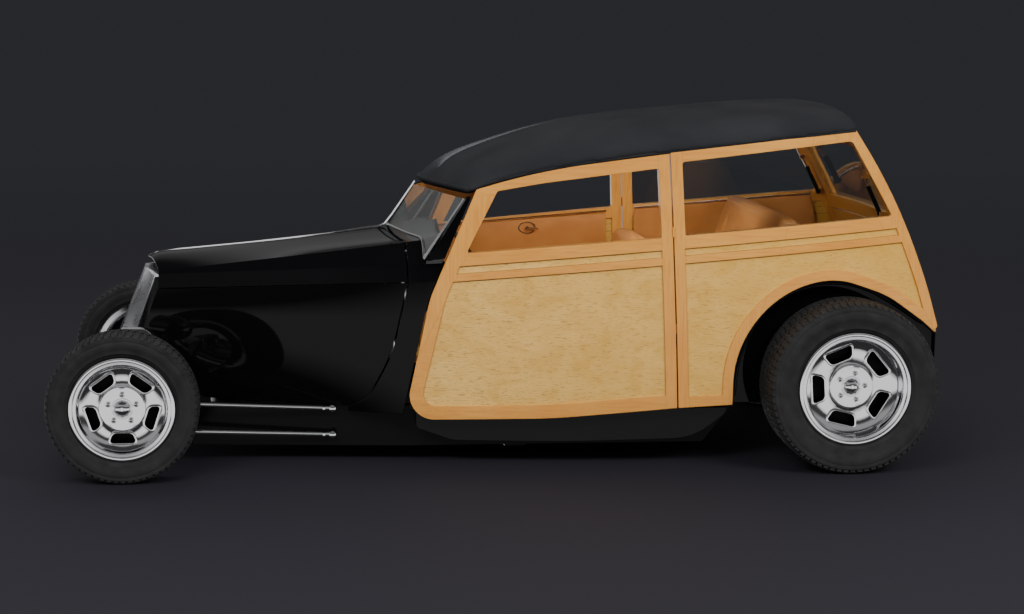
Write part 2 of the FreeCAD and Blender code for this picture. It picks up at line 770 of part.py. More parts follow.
def chassis_frame():
    left = chassis_rail()
    solids = left + [piece.mirror(Vector(), Vector(0, 1, 0)) for piece in left]
    inner_front = d.rail_front_y - d.rail_wall - 4
    inner_rear = d.rail_cowl_y - d.rail_wall - 4

    def member(x, length, low, height, half):
        return Part.makeBox(length, 2 * half, height, point(x, -half, low))
    solids.append(member(-45, 90, d.rail_kick_z + 7.4, d.rail_kick_height - 7.4, inner_front + 20))
    solids.append(member(178, 50, 270, 30, inner_front + 24))
    solids.append(member(d.cowl_gap + 40, 60, d.rail_bottom + 12, 50, inner_rear + 20))
    solids.append(member(1900, 60, d.rail_bottom + 12, 70, inner_rear + 20))
    solids.append(member(2330, 50, d.rail_bottom + 40, 90, inner_rear + 20))
    solids.append(member(d.wheelbase + 270, 55, d.rear_kick_z + 6, 78, inner_rear + 20))
    solids.append(member(d.wheelbase - 240, 50, d.rear_kick_z + 6, 78, inner_rear + 20))
    solids.append(member(d.wheelbase - 100, 60, d.rear_kick_z + 64, 28, inner_rear + 20))
    for side in (LEFT, RIGHT):
        pad_y = side * (d.rail_cowl_y - d.rail_wall / 2 - 1.5) - 18
        solids.append(Part.makeBox(90, 36, 14, point(1555, pad_y, d.rail_bottom - 8)))
    return solids[0].fuse(solids[1:]).removeSplitter()


node(feature("chassis_frame", chassis_frame()), "chassis_frame")


# Rear axle with its torque tube

def rear_axle():
    z = d.rear_tyre_radius
    x = d.wheelbase
    flange_y = REAR_HUB_Y - 10
    pieces = [
        Part.makeSphere(d.differential_radius, point(x, 0, z)),
        Part.makeCylinder(d.rear_tube_radius, 1160, point(x, -580, z), Vector(0, 1, 0)),
        Part.makeCylinder(d.hub_bore_radius - d.spindle_clearance, 2 * flange_y,
                          point(x, -flange_y, z), Vector(0, 1, 0)),
    ]
    for side in (LEFT, RIGHT):
        base = point(x, side * 560, z)
        pieces.append(Part.makeCylinder(150, 68, base, Vector(0, side, 0)))
    front = point(1392, 0, 190)
    back = point(x - 60, 0, z)
    pieces.append(Part.makeCylinder(d.propshaft_radius, (back - front).Length, front, back - front))
    return pieces[0].fuse(pieces[1:]).removeSplitter()


node(feature("rear_axle", rear_axle()), "rear_axle")


def rear_suspension():
    solids = []
    axle = d.wheelbase
    z = d.rear_tyre_radius
    centre = point(axle, 0, z)
    for side in (LEFT, RIGHT):
        y = side * 360
        foot = point(axle - 70, y, z - 30)
        damper = Part.makeCylinder(26, d.rear_kick_z + 63.6 - foot.z, foot)
        lug = Part.makeBox(64, 30, 40, point(axle - 96, y - 15, z - 50))
        tube = Part.makeCylinder(d.rear_tube_radius + 0.3, 80, point(axle, y - 40, z), Vector(0, 1, 0))
        solids.append(damper.fuse([lug]).cut(tube).removeSplitter())
        start = point(2384.6, side * 300, 170)
        aim = centre + Vector(0, side * 300, 0) - start
        solids.append(Part.makeCylinder(13, aim.Length - d.rear_tube_radius - 0.4, start, aim))
    return Part.makeCompound(solids)


node(feature("rear_suspension", rear_suspension()), "rear_suspension")


# Engine, radiator, exhaust and tank

def engine():
    block = Part.makeBox(560, 440, 470, point(330, -220, 190))
    block = block.makeFillet(30, block.Edges)
    sump = Part.makeBox(420, 240, 90, point(380, -120, 105))
    gearbox = Part.makeCone(140, 60, 500, point(885, 0, 290), Vector(495, 0, -100))
    rails_y = rail_outer_y(480) - d.rail_wall - 0.4
    mounts = Part.makeBox(60, 2 * rails_y, 30, point(480, -rails_y, 200))
    return block.fuse([sump, gearbox, mounts]).removeSplitter()


node(feature("engine", engine()), "engine")

radiator = box("radiator", point(180, -175, 300.4), 56, 350, 440)
node(radiator, "radiator")


def exhaust():
    solids = []
    z = d.rail_bottom + 12 + 70 + 25.3
    for side in (LEFT, RIGHT):
        y = side * 300
        pipe = Part.makeCylinder(25, 1500, point(760, y, z), Vector(1, 0, 0))
        muffler = Part.makeCylinder(50, 420, point(1300, y, z), Vector(1, 0, 0))
        riser = Part.makeCylinder(25, 121, point(785, y, z), Vector(-45, -side * 53, 100))
        solids.append(pipe.fuse([muffler, riser]).removeSplitter())
    return Part.makeCompound(solids)


node(feature("exhaust", exhaust()), "exhaust")

tank = box("fuel_tank", point(d.wheelbase + 145, -330, d.rear_kick_z - 36), 124.6, 660, 140)
node(tank, "fuel_tank")


# Grille

GRILLE_FOOT = (-67, 472)
GRILLE_HEAD = (56, 778)
GRILLE_SIDE_FOOT = (18, 498)
GRILLE_SIDE_HEAD = (106, 761)


def grille_edge(side, share, height):
    # a point on the pointed grille's face, between its nose and its outer edge
    low = point(GRILLE_FOOT[0], 0, GRILLE_FOOT[1])
    low += (point(GRILLE_SIDE_FOOT[0], side * d.grille_foot_half, GRILLE_SIDE_FOOT[1]) - low) * share
    high = point(GRILLE_HEAD[0], 0, GRILLE_HEAD[1])
    high += (point(GRILLE_SIDE_HEAD[0], side * d.grille_top_half, GRILLE_SIDE_HEAD[1]) - high) * share
    return low + (high - low) * height


def upright(low, high, across, depth):
    half = Vector(0, across / 2, 0)
    back = Vector(depth, 0, 0)
    section = polygon([low - half, low + half, low + half + back, low - half + back])
    return Part.Face(section).extrude(high - low)


def crossbar(inner, outer, tall, depth):
    rise = Vector(0, 0, tall)
    back = Vector(depth, 0, 0)
    section = polygon([inner, inner + rise, inner + rise + back, inner + back])
    return Part.Face(section).extrude(outer - inner)


def grille():
    rim = d.grille_rim
    solids = [upright(grille_edge(LEFT, 0, 0), grille_edge(LEFT, 0, 1), 18, 34)]
    for side in (LEFT, RIGHT):
        low, high = grille_edge(side, 1, 0), grille_edge(side, 1, 1)
        inward = Vector(0, -side * rim / 2, 0)
        solids.append(upright(low + inward, high + inward, rim, 30))
        leg_y = side * (d.grille_foot_half - 12) - 8
        solids.append(Part.makeBox(16, 16, 100, point(24, leg_y, d.rail_kick_z + d.rail_kick_height + 0.4)))
        drop = Vector(0, 0, -rim)
        solids.append(crossbar(grille_edge(side, 0, 1) + drop, high + drop, rim, 30))
        solids.append(crossbar(grille_edge(side, 0, 0), low, rim, 30))
        count = int(d.grille_bars)
        for i in range(count):
            share = (i + 0.9) / (count + 0.8)
            shift = Vector(6, 0, 0)
            solids.append(upright(grille_edge(side, share, 0.02) + shift, grille_edge(side, share, 0.97) + shift,
                                  d.grille_bar_wall, d.grille_bar_depth))
    return solids[0].fuse(solids[1:]).removeSplitter()


node(feature("grille", grille()), "grille")


# Hood and cowl skins

def hood_share(x):
    return (x - d.hood_front) / (d.cowl_gap - d.hood_front)


def belt_half_width(x):
    if x < 1190:
        return 222 + 0.341 * (x - d.hood_front)
    return plan_half_width(x) - 1


def crown_z(x):
    if x < 200:
        return 838 - 0.125 * (200 - x) - 0.006 * max(0, 110 - x) ** 2
    return 838 + 0.085 * (x - 200) + 0.000028 * (x - 200) ** 2


def front_section(x, depth):
    # left half section of hood and cowl: crown, two creases, belt, side and foot
    t = hood_share(x)
    belt = belt_half_width(x)
    return [
        point(x, 0, crown_z(x) - depth),
        point(x, -(0.45 * belt - 0.3 * depth), crown_z(x) - 14 - 22 * t - depth),
        point(x, -(belt * (0.88 - 0.18 * t) - 0.5 * depth), 768 + 143 * t - depth),
        point(x, -(belt * 0.93 - 0.8 * depth), 757 + 75 * t - 0.6 * depth),
        point(x, -(belt - depth), 697 + 67 * t),
        point(x, -(belt + 8 - depth), 480),
        point(x, -(belt - 5 - 60 * (1 - t) - depth), 215),
    ]


FRONT_STATIONS = [20, 60, 110, 180, 300, 600, 900, 1143, 1240, 1345]


def front_layer(outer_depth, inner_depth):
    wires = []
    for x in FRONT_STATIONS:
        outer = front_section(x, outer_depth)
        inner = front_section(x, inner_depth)
        edges = [
            Part.Arc(outer[0], outer[1], outer[2]).toShape(),
            Part.makeLine(outer[2], outer[3]),
            Part.makeLine(outer[3], outer[4]),
            Part.Arc(outer[4], outer[5], outer[6]).toShape(),
            Part.makeLine(outer[6], inner[6]),
            Part.Arc(inner[6], inner[5], inner[4]).toShape(),
            Part.makeLine(inner[4], inner[3]),
            Part.makeLine(inner[3], inner[2]),
            Part.Arc(inner[2], inner[1], inner[0]).toShape(),
            Part.makeLine(inner[0], outer[0]),
        ]
        wires.append(Part.Wire(edges))
    return loft(wires)


FRONT_SKIN = front_layer(0, d.skin)


def belt_z(x):
    return 697 + 67 * hood_share(x)


def tall_prism(corners, low, high):
    # plan outline of (x, y) corners carried up
    wire = polygon([point(x, y, low) for x, y in corners])
    return Part.Face(wire).extrude(Vector(0, 0, high - low))


def hood_half():
    gap = d.panel_gap / 2
    reach = tall_prism([
        (70, -d.strip_half_width - 0.4), (d.hood_front + 8, -d.grille_top_half), (d.hood_front + 8, -400),
        (d.cowl_gap - gap, -700), (d.cowl_gap - gap, -400), (1046 - gap, -d.strip_half_width - 0.4),
    ], 500, 1200)
    above = slab(polygon([
        point(0, 0, belt_z(0) + 2), point(0, 0, 1100), point(1400, 0, 1100), point(1400, 0, belt_z(1400) + 2),
    ]), -800, 0)
    return FRONT_SKIN.common(reach).common(above)


hood_left = feature("hood_left", hood_half())
node(hood_left, "hood_left")
node(mirrored("hood_right", hood_left), "hood_right")

HOOD_SIDE_FOOT = d.rail_bottom + d.rail_height + 1.5


def hood_side():
    gap = d.panel_gap / 2
    outline = rounded_outline([
        (d.hood_front + 12, belt_z(d.hood_front) - 1, 0),
        (d.cowl_gap - gap, belt_z(d.cowl_gap) - 1, 0),
        (1075, 470, 700),
        (960, HOOD_SIDE_FOOT, 150),
        (300, HOOD_SIDE_FOOT, 40),
        (36, 490, 0),
    ])
    return FRONT_SKIN.common(slab(outline, -800, 0))


hood_side_left = feature("hood_side", hood_side())
node(both_sides("hood_sides", hood_side_left), "hood_sides")


WINDSCREEN_FOOT = (1090, 952)


def windscreen_x(y, z):
    # the left pane's plane, from its foot on the centre plane
    return WINDSCREEN_FOOT[0] + (726 * (z - WINDSCREEN_FOOT[1]) - 363 * y) / 1089


def cowl():
    gap = d.panel_gap / 2
    side = slab(rounded_outline([
        (d.cowl_gap + gap, 1000, 0),
        (d.cowl_gap + gap, belt_z(d.cowl_gap), 0),
        (1081, 470, 700),
        (966, HOOD_SIDE_FOOT, 150),
        (900, HOOD_SIDE_FOOT, 0),
        (900, 216, 0),
        (d.door_front - 12, 216, 0),
        (1223, 700, 380),
        (1304, 892, 0),
        (1304, 1000, 0),
    ]), -800, 0)
    skin = FRONT_SKIN.common(side)
    top = FRONT_SKIN.common(tall_prism([
        (1046 + gap, 0), (d.cowl_gap + gap, -400), (d.cowl_gap + gap, -640), (1290, -640), (1150, 0),
    ], 745, 1100))
    post = side_layer(0, 42).common(slab(polygon([
        point(1216, 0, 855), point(1289, 0, 866), point(1395, 0, 1116), point(1379, 0, 1116),
    ]), -800, -300))
    door_edge = slab(polygon([
        point(1223, 0, 700), point(1304, 0, 892), point(1412, 0, 1148), point(1600, 0, 1148), point(1600, 0, 700),
    ]), -800, -300)
    top = top.cut(door_edge)
    section = front_section(1150, d.skin)
    foot = Vector(section[6].x, section[6].y, HOOD_SIDE_FOOT)
    wall = Part.Wire([
        Part.makeLine(point(1150, 0, HOOD_SIDE_FOOT), section[0]),
        Part.Arc(section[0], section[1], section[2]).toShape(),
        Part.makeLine(section[2], section[3]),
        Part.makeLine(section[3], section[4]),
        Part.makeLine(section[4], foot),
        Part.makeLine(foot, point(1150, 0, HOOD_SIDE_FOOT)),
    ])
    firewall = Part.Face(wall).extrude(Vector(4, 0, 0))
    firewall = firewall.cut(Part.makeBox(20, 125, 260, point(1140, -125, 100)))
    firewall = firewall.cut(Part.makeBox(20, 250, 280, point(1140, -802, 150)))
    left = skin.fuse([top, firewall, post])
    right = left.mirror(Vector(), Vector(0, 1, 0))
    return left.fuse(right).removeSplitter()


node(feature("cowl", cowl()), "cowl")


def centre_strip():
    # bright strip up the grille's nose, along the hood and up the windscreen
    height = 5
    path = [(56, 781), (70, 806), (104, crown_z(112) - 4), (200, crown_z(200)), (500, crown_z(500)),
            (800, crown_z(800)), (1040, crown_z(1040) + 1), (1074, 944), (1107, 986), (1206, 1131)]
    upper = [point(x - height * 0.35, 0, z + height) for x, z in path]
    lower = [point(x + height * 0.35, 0, z - height * 0.4) for x, z in reversed(path)]
    strip = slab(polygon(upper + lower), -d.strip_half_width, d.strip_half_width)
    for bottom_skin in (FRONT_SKIN, FRONT_SKIN.mirror(Vector(), Vector(0, 1, 0))):
        strip = strip.cut(bottom_skin)
    return max(strip.Solids, key=lambda solid: solid.Volume)


node(feature("centre_strip", centre_strip()), "centre_strip")


def pane(corners):
    first, second, third = corners[:3]
    normal = (second - first).cross(third - first)
    normal.normalize()
    return Part.Face(polygon(corners)).extrude(normal * d.glass_wall)


def body_glass():
    inner_y = d.strip_half_width + 0.5
    corners = [(inner_y, 944), (inner_y, 1118), (549.5, 1104), (545.5, 856), (408, 925), (260, 927)]
    left = pane([point(windscreen_x(-y, z), -y, z) for y, z in corners])
    window = Part.Face(rounded_outline(quarter_window()).makeOffset2D(-0.3))
    quarter = side_layer(d.glass_recess, d.glass_recess + d.glass_wall).common(through(window))
    solids = []
    for piece in (left, quarter):
        solids += [piece, piece.mirror(Vector(), Vector(0, 1, 0))]
    return Part.makeCompound(solids)


node(feature("body_glass", body_glass()), "body_glass")


# Doors and quarters

WALL = side_layer(0, d.side_wall)
MOULDING = side_layer(0, d.moulding_depth)
PANEL = side_layer(d.panel_recess, d.panel_recess + d.panel_wall)


def door_frame():
    # the front edge is stepped back inside, so that the door swings clear of the cowl
    step = slab(rounded_outline([
        (1575, 1206, 0), (1548, 1174, 0), (1446, 1140, 0), (1410.4, 1110, 0), (1238, 690, 380), (1134, 150, 0),
        (1000, 150, 0), (1000, 1206, 0),
    ]), -800, -300)
    frame = WALL.common(left_slab(door_outline()))
    frame = frame.cut(side_layer(15, 60).common(step))
    frame = frame.cut(left_slab(door_window())).cut(left_slab(door_panel_outline()))
    belt = MOULDING.common(left_slab(rail_band(1290, gap_x(850) - 40, BELT_TOP, BELT_FOOT)))
    belt = belt.common(left_slab(door_panel_outline(3)))
    return frame.fuse(belt).removeSplitter()


def door_panel():
    panel = PANEL.common(left_slab(door_panel_outline(-0.2)))
    return panel.cut(MOULDING.common(left_slab(rail_band(1250, gap_x(850) - 20, BELT_TOP, BELT_FOOT))))


door_frame_left = feature("door_frame_left", door_frame())
door_panel_left = feature("door_panel_left", door_panel())
node(door_frame_left, "door_frame_left")
node(door_panel_left, "door_panel_left")
node(mirrored("door_frame_right", door_frame_left), "door_frame_right")
node(mirrored("door_panel_right", door_panel_left), "door_panel_right")

PANEL_FIELD = through(quarter_panel_face())


def quarter_frame():
    frame = WALL.common(left_slab(quarter_outline()))
    frame = frame.cut(left_slab(quarter_window())).cut(PANEL_FIELD)
    belt = MOULDING.common(left_slab(rail_band(2240, TAIL_X, BELT_TOP, BELT_FOOT, 0)))
    belt = belt.common(WALL.common(left_slab(quarter_outline())))
    hinges = []
    for z in (560, 960):
        low, high = gap_x(z) - 2.6, gap_x(z) + 6
        leaf = polygon([point(low, -676, z), point(high, -676, z), point(high, -646, z), point(low, -646, z)])
        lean = Vector(gap_x(z + 40) - gap_x(z), 0, 40)
        hinges.append(Part.Face(leaf).extrude(lean))
    return frame.fuse([belt] + hinges).removeSplitter()


def quarter_panel():
    panel = PANEL.common(PANEL_FIELD)
    return panel.cut(MOULDING.common(left_slab(rail_band(2240, TAIL_X, BELT_TOP, BELT_FOOT, 0))))


quarter_left = feature("quarter_frame", quarter_frame())
node(both_sides("quarter_frames", quarter_left), "quarter_frames")
quarter_panel_left = feature("quarter_panel", quarter_panel())
node(both_sides("quarter_panels", quarter_panel_left), "quarter_panels")


# Wheelhouses

def wheelhouse():
    axle = d.wheelbase
    arch = rounded_outline([
        (axle + 410, 545, 0),
        (axle + 345, 600, 120),
        (axle + 185, 712, 420),
        (axle - 40, 790, 330),
        (axle - 300, 735, 420),
        (axle - 470, 480, 420),
        (axle - 470, 262, 0),
        (axle - 470, 180, 0),
        (axle + 410, 180, 0),
    ])
    outer = Part.Face(arch.makeOffset2D(-0.5))
    inner = Part.Face(arch.makeOffset2D(-0.5 - d.floor_wall))
    ring = outer.cut(inner)
    inner_y = -590
    ring.translate(Vector(0, inner_y, 0))
    rim = ring.extrude(Vector(0, -120, 0)).common(side_layer(3, 140))
    wall = outer.copy()
    wall.translate(Vector(0, inner_y, 0))
    wall = wall.extrude(Vector(0, d.floor_wall, 0))
    hole = Part.makeCylinder(165, 60, point(axle, inner_y - 30, d.rear_tyre_radius), Vector(0, 1, 0))
    slot = Part.makeBox(330, 60, 400, point(axle - 165, inner_y - 30, d.rear_tyre_radius - 400))
    foot = Part.makeBox(1200, 200, 95, point(axle - 600, inner_y - 150, 160))
    return rim.fuse(wall).cut(hole.fuse(slot)).cut(foot).removeSplitter()


wheelhouse_left = feature("wheelhouse", wheelhouse())
node(both_sides("wheelhouses", wheelhouse_left), "wheelhouses")


# Floor and deck

def tunnel(grow):
    # raised channel over the gearbox and torque tube
    def section(x, half, top):
        return polygon([point(x, -half - grow, 200), point(x, -half - grow, top + grow),
                        point(x, half + grow, top + grow), point(x, half + grow, 200)])
    front = loft([section(1160, 118, 356), section(1460, 45, 300)], ruled=True)
    return front.fuse(loft([section(1460, 45, 300), section(SEAT_WALL + 20, 45, 330)], ruled=True))


SEAT_WALL = 2330


def floor():
    low = d.floor_z
    edge = d.side_wall + 12
    stations = [d.cowl_gap + 40, 1500, 1900, SEAT_WALL + 5]
    left = [(x, -(side_y(x, 260) - edge)) for x in stations]
    right = [(x, -y) for x, y in reversed(left)]
    pan = Part.Face(polygon([point(x, y, low) for x, y in left + right])).extrude(Vector(0, 0, d.floor_wall))
    inner_y = d.rail_cowl_y + 3
    reach = [(x, -(side_y(x, 260) - edge)) for x in (d.cowl_gap + 40, 1500, 1900, 2200, 2468)]
    back = [(x, -inner_y) for x, y in reversed(reach)]
    sill = Part.Face(polygon([point(x, y, 90) for x, y in reach + back])).extrude(Vector(0, 0, low + 5 - 90))
    sill = sill.common(slab(rounded_outline([
        (d.cowl_gap + 40, low + d.floor_wall, 0),
        (2468, low + d.floor_wall, 0),
        (2462, 214, 12),
        (2330, 112, 260),
        (1800, 98, 3000),
        (d.cowl_gap + 190, 100, 120),
        (d.cowl_gap + 40, 150, 20),
    ]), -800, -300))
    wall = Part.makeBox(5, 1220, d.deck_z - 0.4 - low, point(SEAT_WALL, -610, low))
    hump = tunnel(4).common(Part.makeBox(SEAT_WALL - 1180, 400, 400, point(1180, -200, low)))
    body = pan.fuse([sill, sill.mirror(Vector(), Vector(0, 1, 0)), wall, hump])
    return body.cut(tunnel(0)).removeSplitter()


node(feature("floor", floor()), "floor")

DECK_HALF = 584.6
deck = box("deck_board", point(SEAT_WALL, -DECK_HALF, d.deck_z), 3310 - SEAT_WALL, 2 * DECK_HALF, d.deck_wall)
bind(deck, Height="sizes.deck_wall")
tray = box("load_tray", point(2700, -560, d.deck_z + d.deck_wall - 2), 600, 1120, 12)
node(cut("cargo_deck", deck, tray), "cargo_deck")


# Roof

def quarter_top_z(x):
    return 1301 + 91 * (x - 2202) / (TAIL_X - 380 - 2202)


ROOF_STATIONS = [
    # centre x, centre z, edge x, edge z
    (1219, 1150, 1389, 1143),
    (1255, 1186, 1420, 1156),
    (1320, 1232, 1490, 1180),
    (1480, 1296, 1640, 1217),
    (1746, 1374, 1833, 1253),
    (2096, 1425, 2140, 1298),
    (2449, 1459, 2450, quarter_top_z(2450) + 0.4),
    (2760, 1480, 2740, quarter_top_z(2740) + 0.4),
    (2930, 1481, 2890, quarter_top_z(2890) + 0.4),
    (3000, 1468, 2955, quarter_top_z(2955) + 0.4),
    (3037, 1440, 2994, quarter_top_z(2988) + 0.4),
]


def even_stations(rows, count):
    # smooth curves through the centre and edge stations, sampled evenly
    centre = Part.BSplineCurve()
    centre.interpolate([Vector(row[0], 0, row[1]) for row in rows])
    edge = Part.BSplineCurve()
    edge.interpolate([Vector(row[2], 0, row[3]) for row in rows])
    sampled = []
    for i in range(count + 1):
        share = i / count
        middle = centre.value(centre.FirstParameter + share * (centre.LastParameter - centre.FirstParameter))
        rim = edge.value(edge.FirstParameter + share * (edge.LastParameter - edge.FirstParameter))
        sampled.append((middle.x, middle.z, rim.x, rim.z))
    return sampled


ROOF_ROWS = even_stations(ROOF_STATIONS, 20)


def roof_grid(depth):
    rows = []
    last = len(ROOF_ROWS) - 1
    for i, (centre_x, centre_z, edge_x, edge_z) in enumerate(ROOF_ROWS):
        half = side_y(edge_x, edge_z) + 2 - 0.8 * depth
        front = 0.8 * depth * max(0, 1 - i / 4)
        back = 0.8 * depth * max(0, 1 - (last - i) / 3)
        row = []
        for j in range(-10, 11):
            share = math.sin(j / 10 * math.pi / 2)
            across = abs(share)
            rise = (1 - across ** 2.8) ** (1 / 2.2)
            x = edge_x + (centre_x - edge_x) * (1 - across ** 1.3) + front - back
            z = edge_z + (centre_z - edge_z) * rise - depth * min(1, 1.6 * rise)
            row.append(point(x, half * share, z))
        rows.append(row)
    return rows


def roof_layer(outer_depth, inner_depth):
    return sheet_solid(roof_grid(outer_depth), roof_grid(inner_depth))


node(feature("roof", roof_layer(0, d.roof_wall)), "roof")


def tail_x(z):
    # rear edge of the corner post
    stations = [(530, 4), (662, -30), (768, -66), (915, -120), (1061, -189), (1194, -258), (1310, -323), (1400, -388)]
    for (low_z, low_x), (high_z, high_x) in zip(stations, stations[1:]):
        if z <= high_z:
            share = (z - low_z) / (high_z - low_z)
            return TAIL_X + low_x + share * (high_x - low_x)
    return TAIL_X + stations[-1][1]


def tail_layer(outer_depth, inner_depth, low, high):
    wires = []
    steps = 6
    half = 612
    for i in range(steps + 1):
        z = low + (high - low) * i / steps
        arcs = []
        for depth in (outer_depth, inner_depth):
            edge = tail_x(z) - depth
            arcs.append([point(edge, -half, z), point(edge + d.tail_bow, 0, z), point(edge, half, z)])
        outer, inner = arcs
        wires.append(Part.Wire([
            Part.Arc(*outer).toShape(),
            Part.makeLine(outer[2], inner[2]),
            Part.Arc(*reversed(inner)).toShape(),
            Part.makeLine(inner[0], outer[0]),
        ]))
    return loft(wires)


def back_window(half, low, high, x0=2600, x1=3600):
    return Part.makeBox(x1 - x0, 2 * half, high - low, point(x0, -half, low))


def hinge_barrels(x, z, reach, first, second):
    # barrels on one axis along Y, each with a leaf that reaches its panel
    solids = []
    for side in (LEFT, RIGHT):
        low_y = min(side * first, side * second)
        barrel = Part.makeCylinder(4, second - first, point(x, low_y, z), Vector(0, 1, 0))
        leaf = Part.makeBox(16, second - first, abs(reach), point(x - 14, low_y, min(z, z + reach)))
        solids += [barrel, leaf]
    return solids


LIFTGATE_AXIS = (3045, 1371)
TAILGATE_AXIS = (3405, 572)


def liftgate():
    wall = tail_layer(0, d.tail_wall, d.liftgate_foot, d.liftgate_head)
    wall = wall.common(back_window(d.gate_half_width, 0, 1500))
    wall = wall.cut(back_window(d.gate_half_width - 62, d.liftgate_foot + 62, d.liftgate_head - 58))
    pieces = hinge_barrels(LIFTGATE_AXIS[0], LIFTGATE_AXIS[1], -16, 180, 230)
    for side in (LEFT, RIGHT):
        low_y = min(side * 526.4, side * 534.4)
        pieces.append(Part.makeBox(50, 8, 24, point(STRUT_HEAD[0] - 8, low_y, STRUT_HEAD[1] - 12)))
    return wall.fuse(pieces).removeSplitter()


def liftgate_glass():
    wall = tail_layer(16, 16 + d.glass_wall, d.liftgate_foot, d.liftgate_head)
    return wall.common(back_window(d.gate_half_width - 62, d.liftgate_foot + 62, d.liftgate_head - 58))


def tailgate():
    top = d.liftgate_foot - d.panel_gap
    wall = tail_layer(0, d.tail_wall, d.tailgate_foot, top)
    wall = wall.common(back_window(d.gate_half_width, 0, 1500))
    recess = tail_layer(-60, d.panel_recess, d.tailgate_foot, top)
    recess = recess.common(back_window(d.gate_half_width - 58, d.tailgate_foot + 55, top - 60))
    wall = wall.cut(recess)
    return wall.fuse(hinge_barrels(TAILGATE_AXIS[0], TAILGATE_AXIS[1], 16, 180, 230)).removeSplitter()


node(feature("liftgate", liftgate()), "liftgate")
node(feature("liftgate_glass", liftgate_glass()), "liftgate_glass")
node(feature("tailgate", tailgate()), "tailgate")


def roof_frame():
    # rear posts, sill and header, side rails and cross bows
    half = 540 + d.panel_gap
    foot = d.tailgate_foot - d.panel_gap
    head = d.liftgate_head + d.panel_gap
    tail = tail_layer(0, d.tail_wall, 545, d.liftgate_head + 18.4)
    side = side_layer(-80, d.side_wall + 0.3)
    tail = tail.cut(side).cut(side.mirror(Vector(), Vector(0, 1, 0)))
    tail = tail.cut(back_window(half, foot, head))
    extras = hinge_barrels(LIFTGATE_AXIS[0], LIFTGATE_AXIS[1], 22, 230.3, 280)
    extras += hinge_barrels(TAILGATE_AXIS[0], TAILGATE_AXIS[1], -20, 230.3, 280)
    for side in (LEFT, RIGHT):
        low_y = min(side * 546.4, side * 562)
        extras.append(Part.makeBox(52, 15.6, 22, point(STRUT_FOOT[0] - 11, low_y, STRUT_FOOT[1] - 11)))
        extras.append(Part.makeCylinder(6, 25, point(STRUT_FOOT[0], side * 527.4, STRUT_FOOT[1]),
                                        Vector(0, side, 0)))
    under = roof_layer(d.roof_wall + 0.5, d.roof_wall + 0.5 + d.bow_wall)
    bays = []
    for front, back in ((1440, 1690), (1734, 2050), (2094, 2400), (2444, 2750), (2794, 2945)):
        bays.append(Part.makeBox(back - front, 1040, 900, point(front, -520, 900)))
    bays.append(Part.makeBox(400, 1600, 900, point(2925, -800, 900)))
    return tail.fuse(extras).removeSplitter(), under.cut(bays[0].fuse(bays[1:]))


tail_frame, roof_ribs = roof_frame()
node(feature("rear_frame", tail_frame), "rear_frame")
node(feature("roof_bows", roof_ribs), "roof_bows")


# Inside

def padded_box(length, width, height, radius):
    block = Part.makeBox(length, width, height)
    return block.makeFillet(radius, block.Edges)


def bench_cushion(x, z, length, height):
    pad = padded_box(length, 2 * d.seat_half_width, height, 38)
    pad.translate(point(x, -d.seat_half_width, z))
    return pad


def bench_back(x, z, height, lean):
    pad = padded_box(115, 2 * d.seat_half_width, height, 38)
    pad.rotate(Vector(), Vector(0, 1, 0), lean)
    pad.translate(point(x, -d.seat_half_width, z))
    return pad


node(feature("seat_cushions", Part.makeCompound([
    bench_cushion(1560, 324.5, 470, 168),
    bench_cushion(2235, d.deck_z + d.deck_wall + 0.4, 315, 110),
])), "seat_cushions")
node(feature("seat_backs", Part.makeCompound([
    bench_back(2022, 350, 560, 15),
    bench_back(2540.2, 600, 470, 20),
])), "seat_backs")


COLUMN_FOOT = point(1166, -330, 585)
COLUMN_HEAD = point(1450, -330, 790)


def dashboard():
    section = [point(1225, 0, 700), point(1215, 0, 825), point(1262, 0, 848), point(1300, 0, 835),
               point(1312, 0, 760), point(1290, 0, 700)]
    board = Part.Face(polygon(section)).extrude(Vector(0, 940, 0))
    board.translate(Vector(0, -470, 0))
    span = COLUMN_HEAD - COLUMN_FOOT
    parts = [Part.makeCylinder(d.column_radius, span.Length - 16, COLUMN_FOOT, span)]
    for y in (-300, 260):
        parts.append(Part.makeBox(80, 40, 30, point(1154.4, y, 745)))
    parts.append(Part.makeBox(40, 36, 80, point(1240, -348, 640)))
    return board.fuse(parts).removeSplitter()


node(feature("dashboard", dashboard()), "dashboard")


def steering_wheel():
    rim = Part.makeTorus(d.steering_wheel_radius, d.steering_wheel_rim)
    hub = Part.makeCylinder(34, 40, Vector(0, 0, -26))
    parts = [hub]
    for i in range(3):
        spoke = Part.makeCylinder(7, d.steering_wheel_radius, Vector(0, 0, -6), Vector(1, 0, 0))
        spoke.rotate(Vector(), Vector(0, 0, 1), 90 + 120 * i)
        parts.append(spoke)
    wheel = rim.fuse(parts)
    axis = COLUMN_HEAD - COLUMN_FOOT
    unit = Vector(axis)
    unit.normalize()
    wheel.Placement = Placement(COLUMN_HEAD + unit * 10.6, Rotation(Vector(0, 0, 1), axis))
    return wheel


node(feature("steering_wheel", steering_wheel()), "steering_wheel")


# Lamps

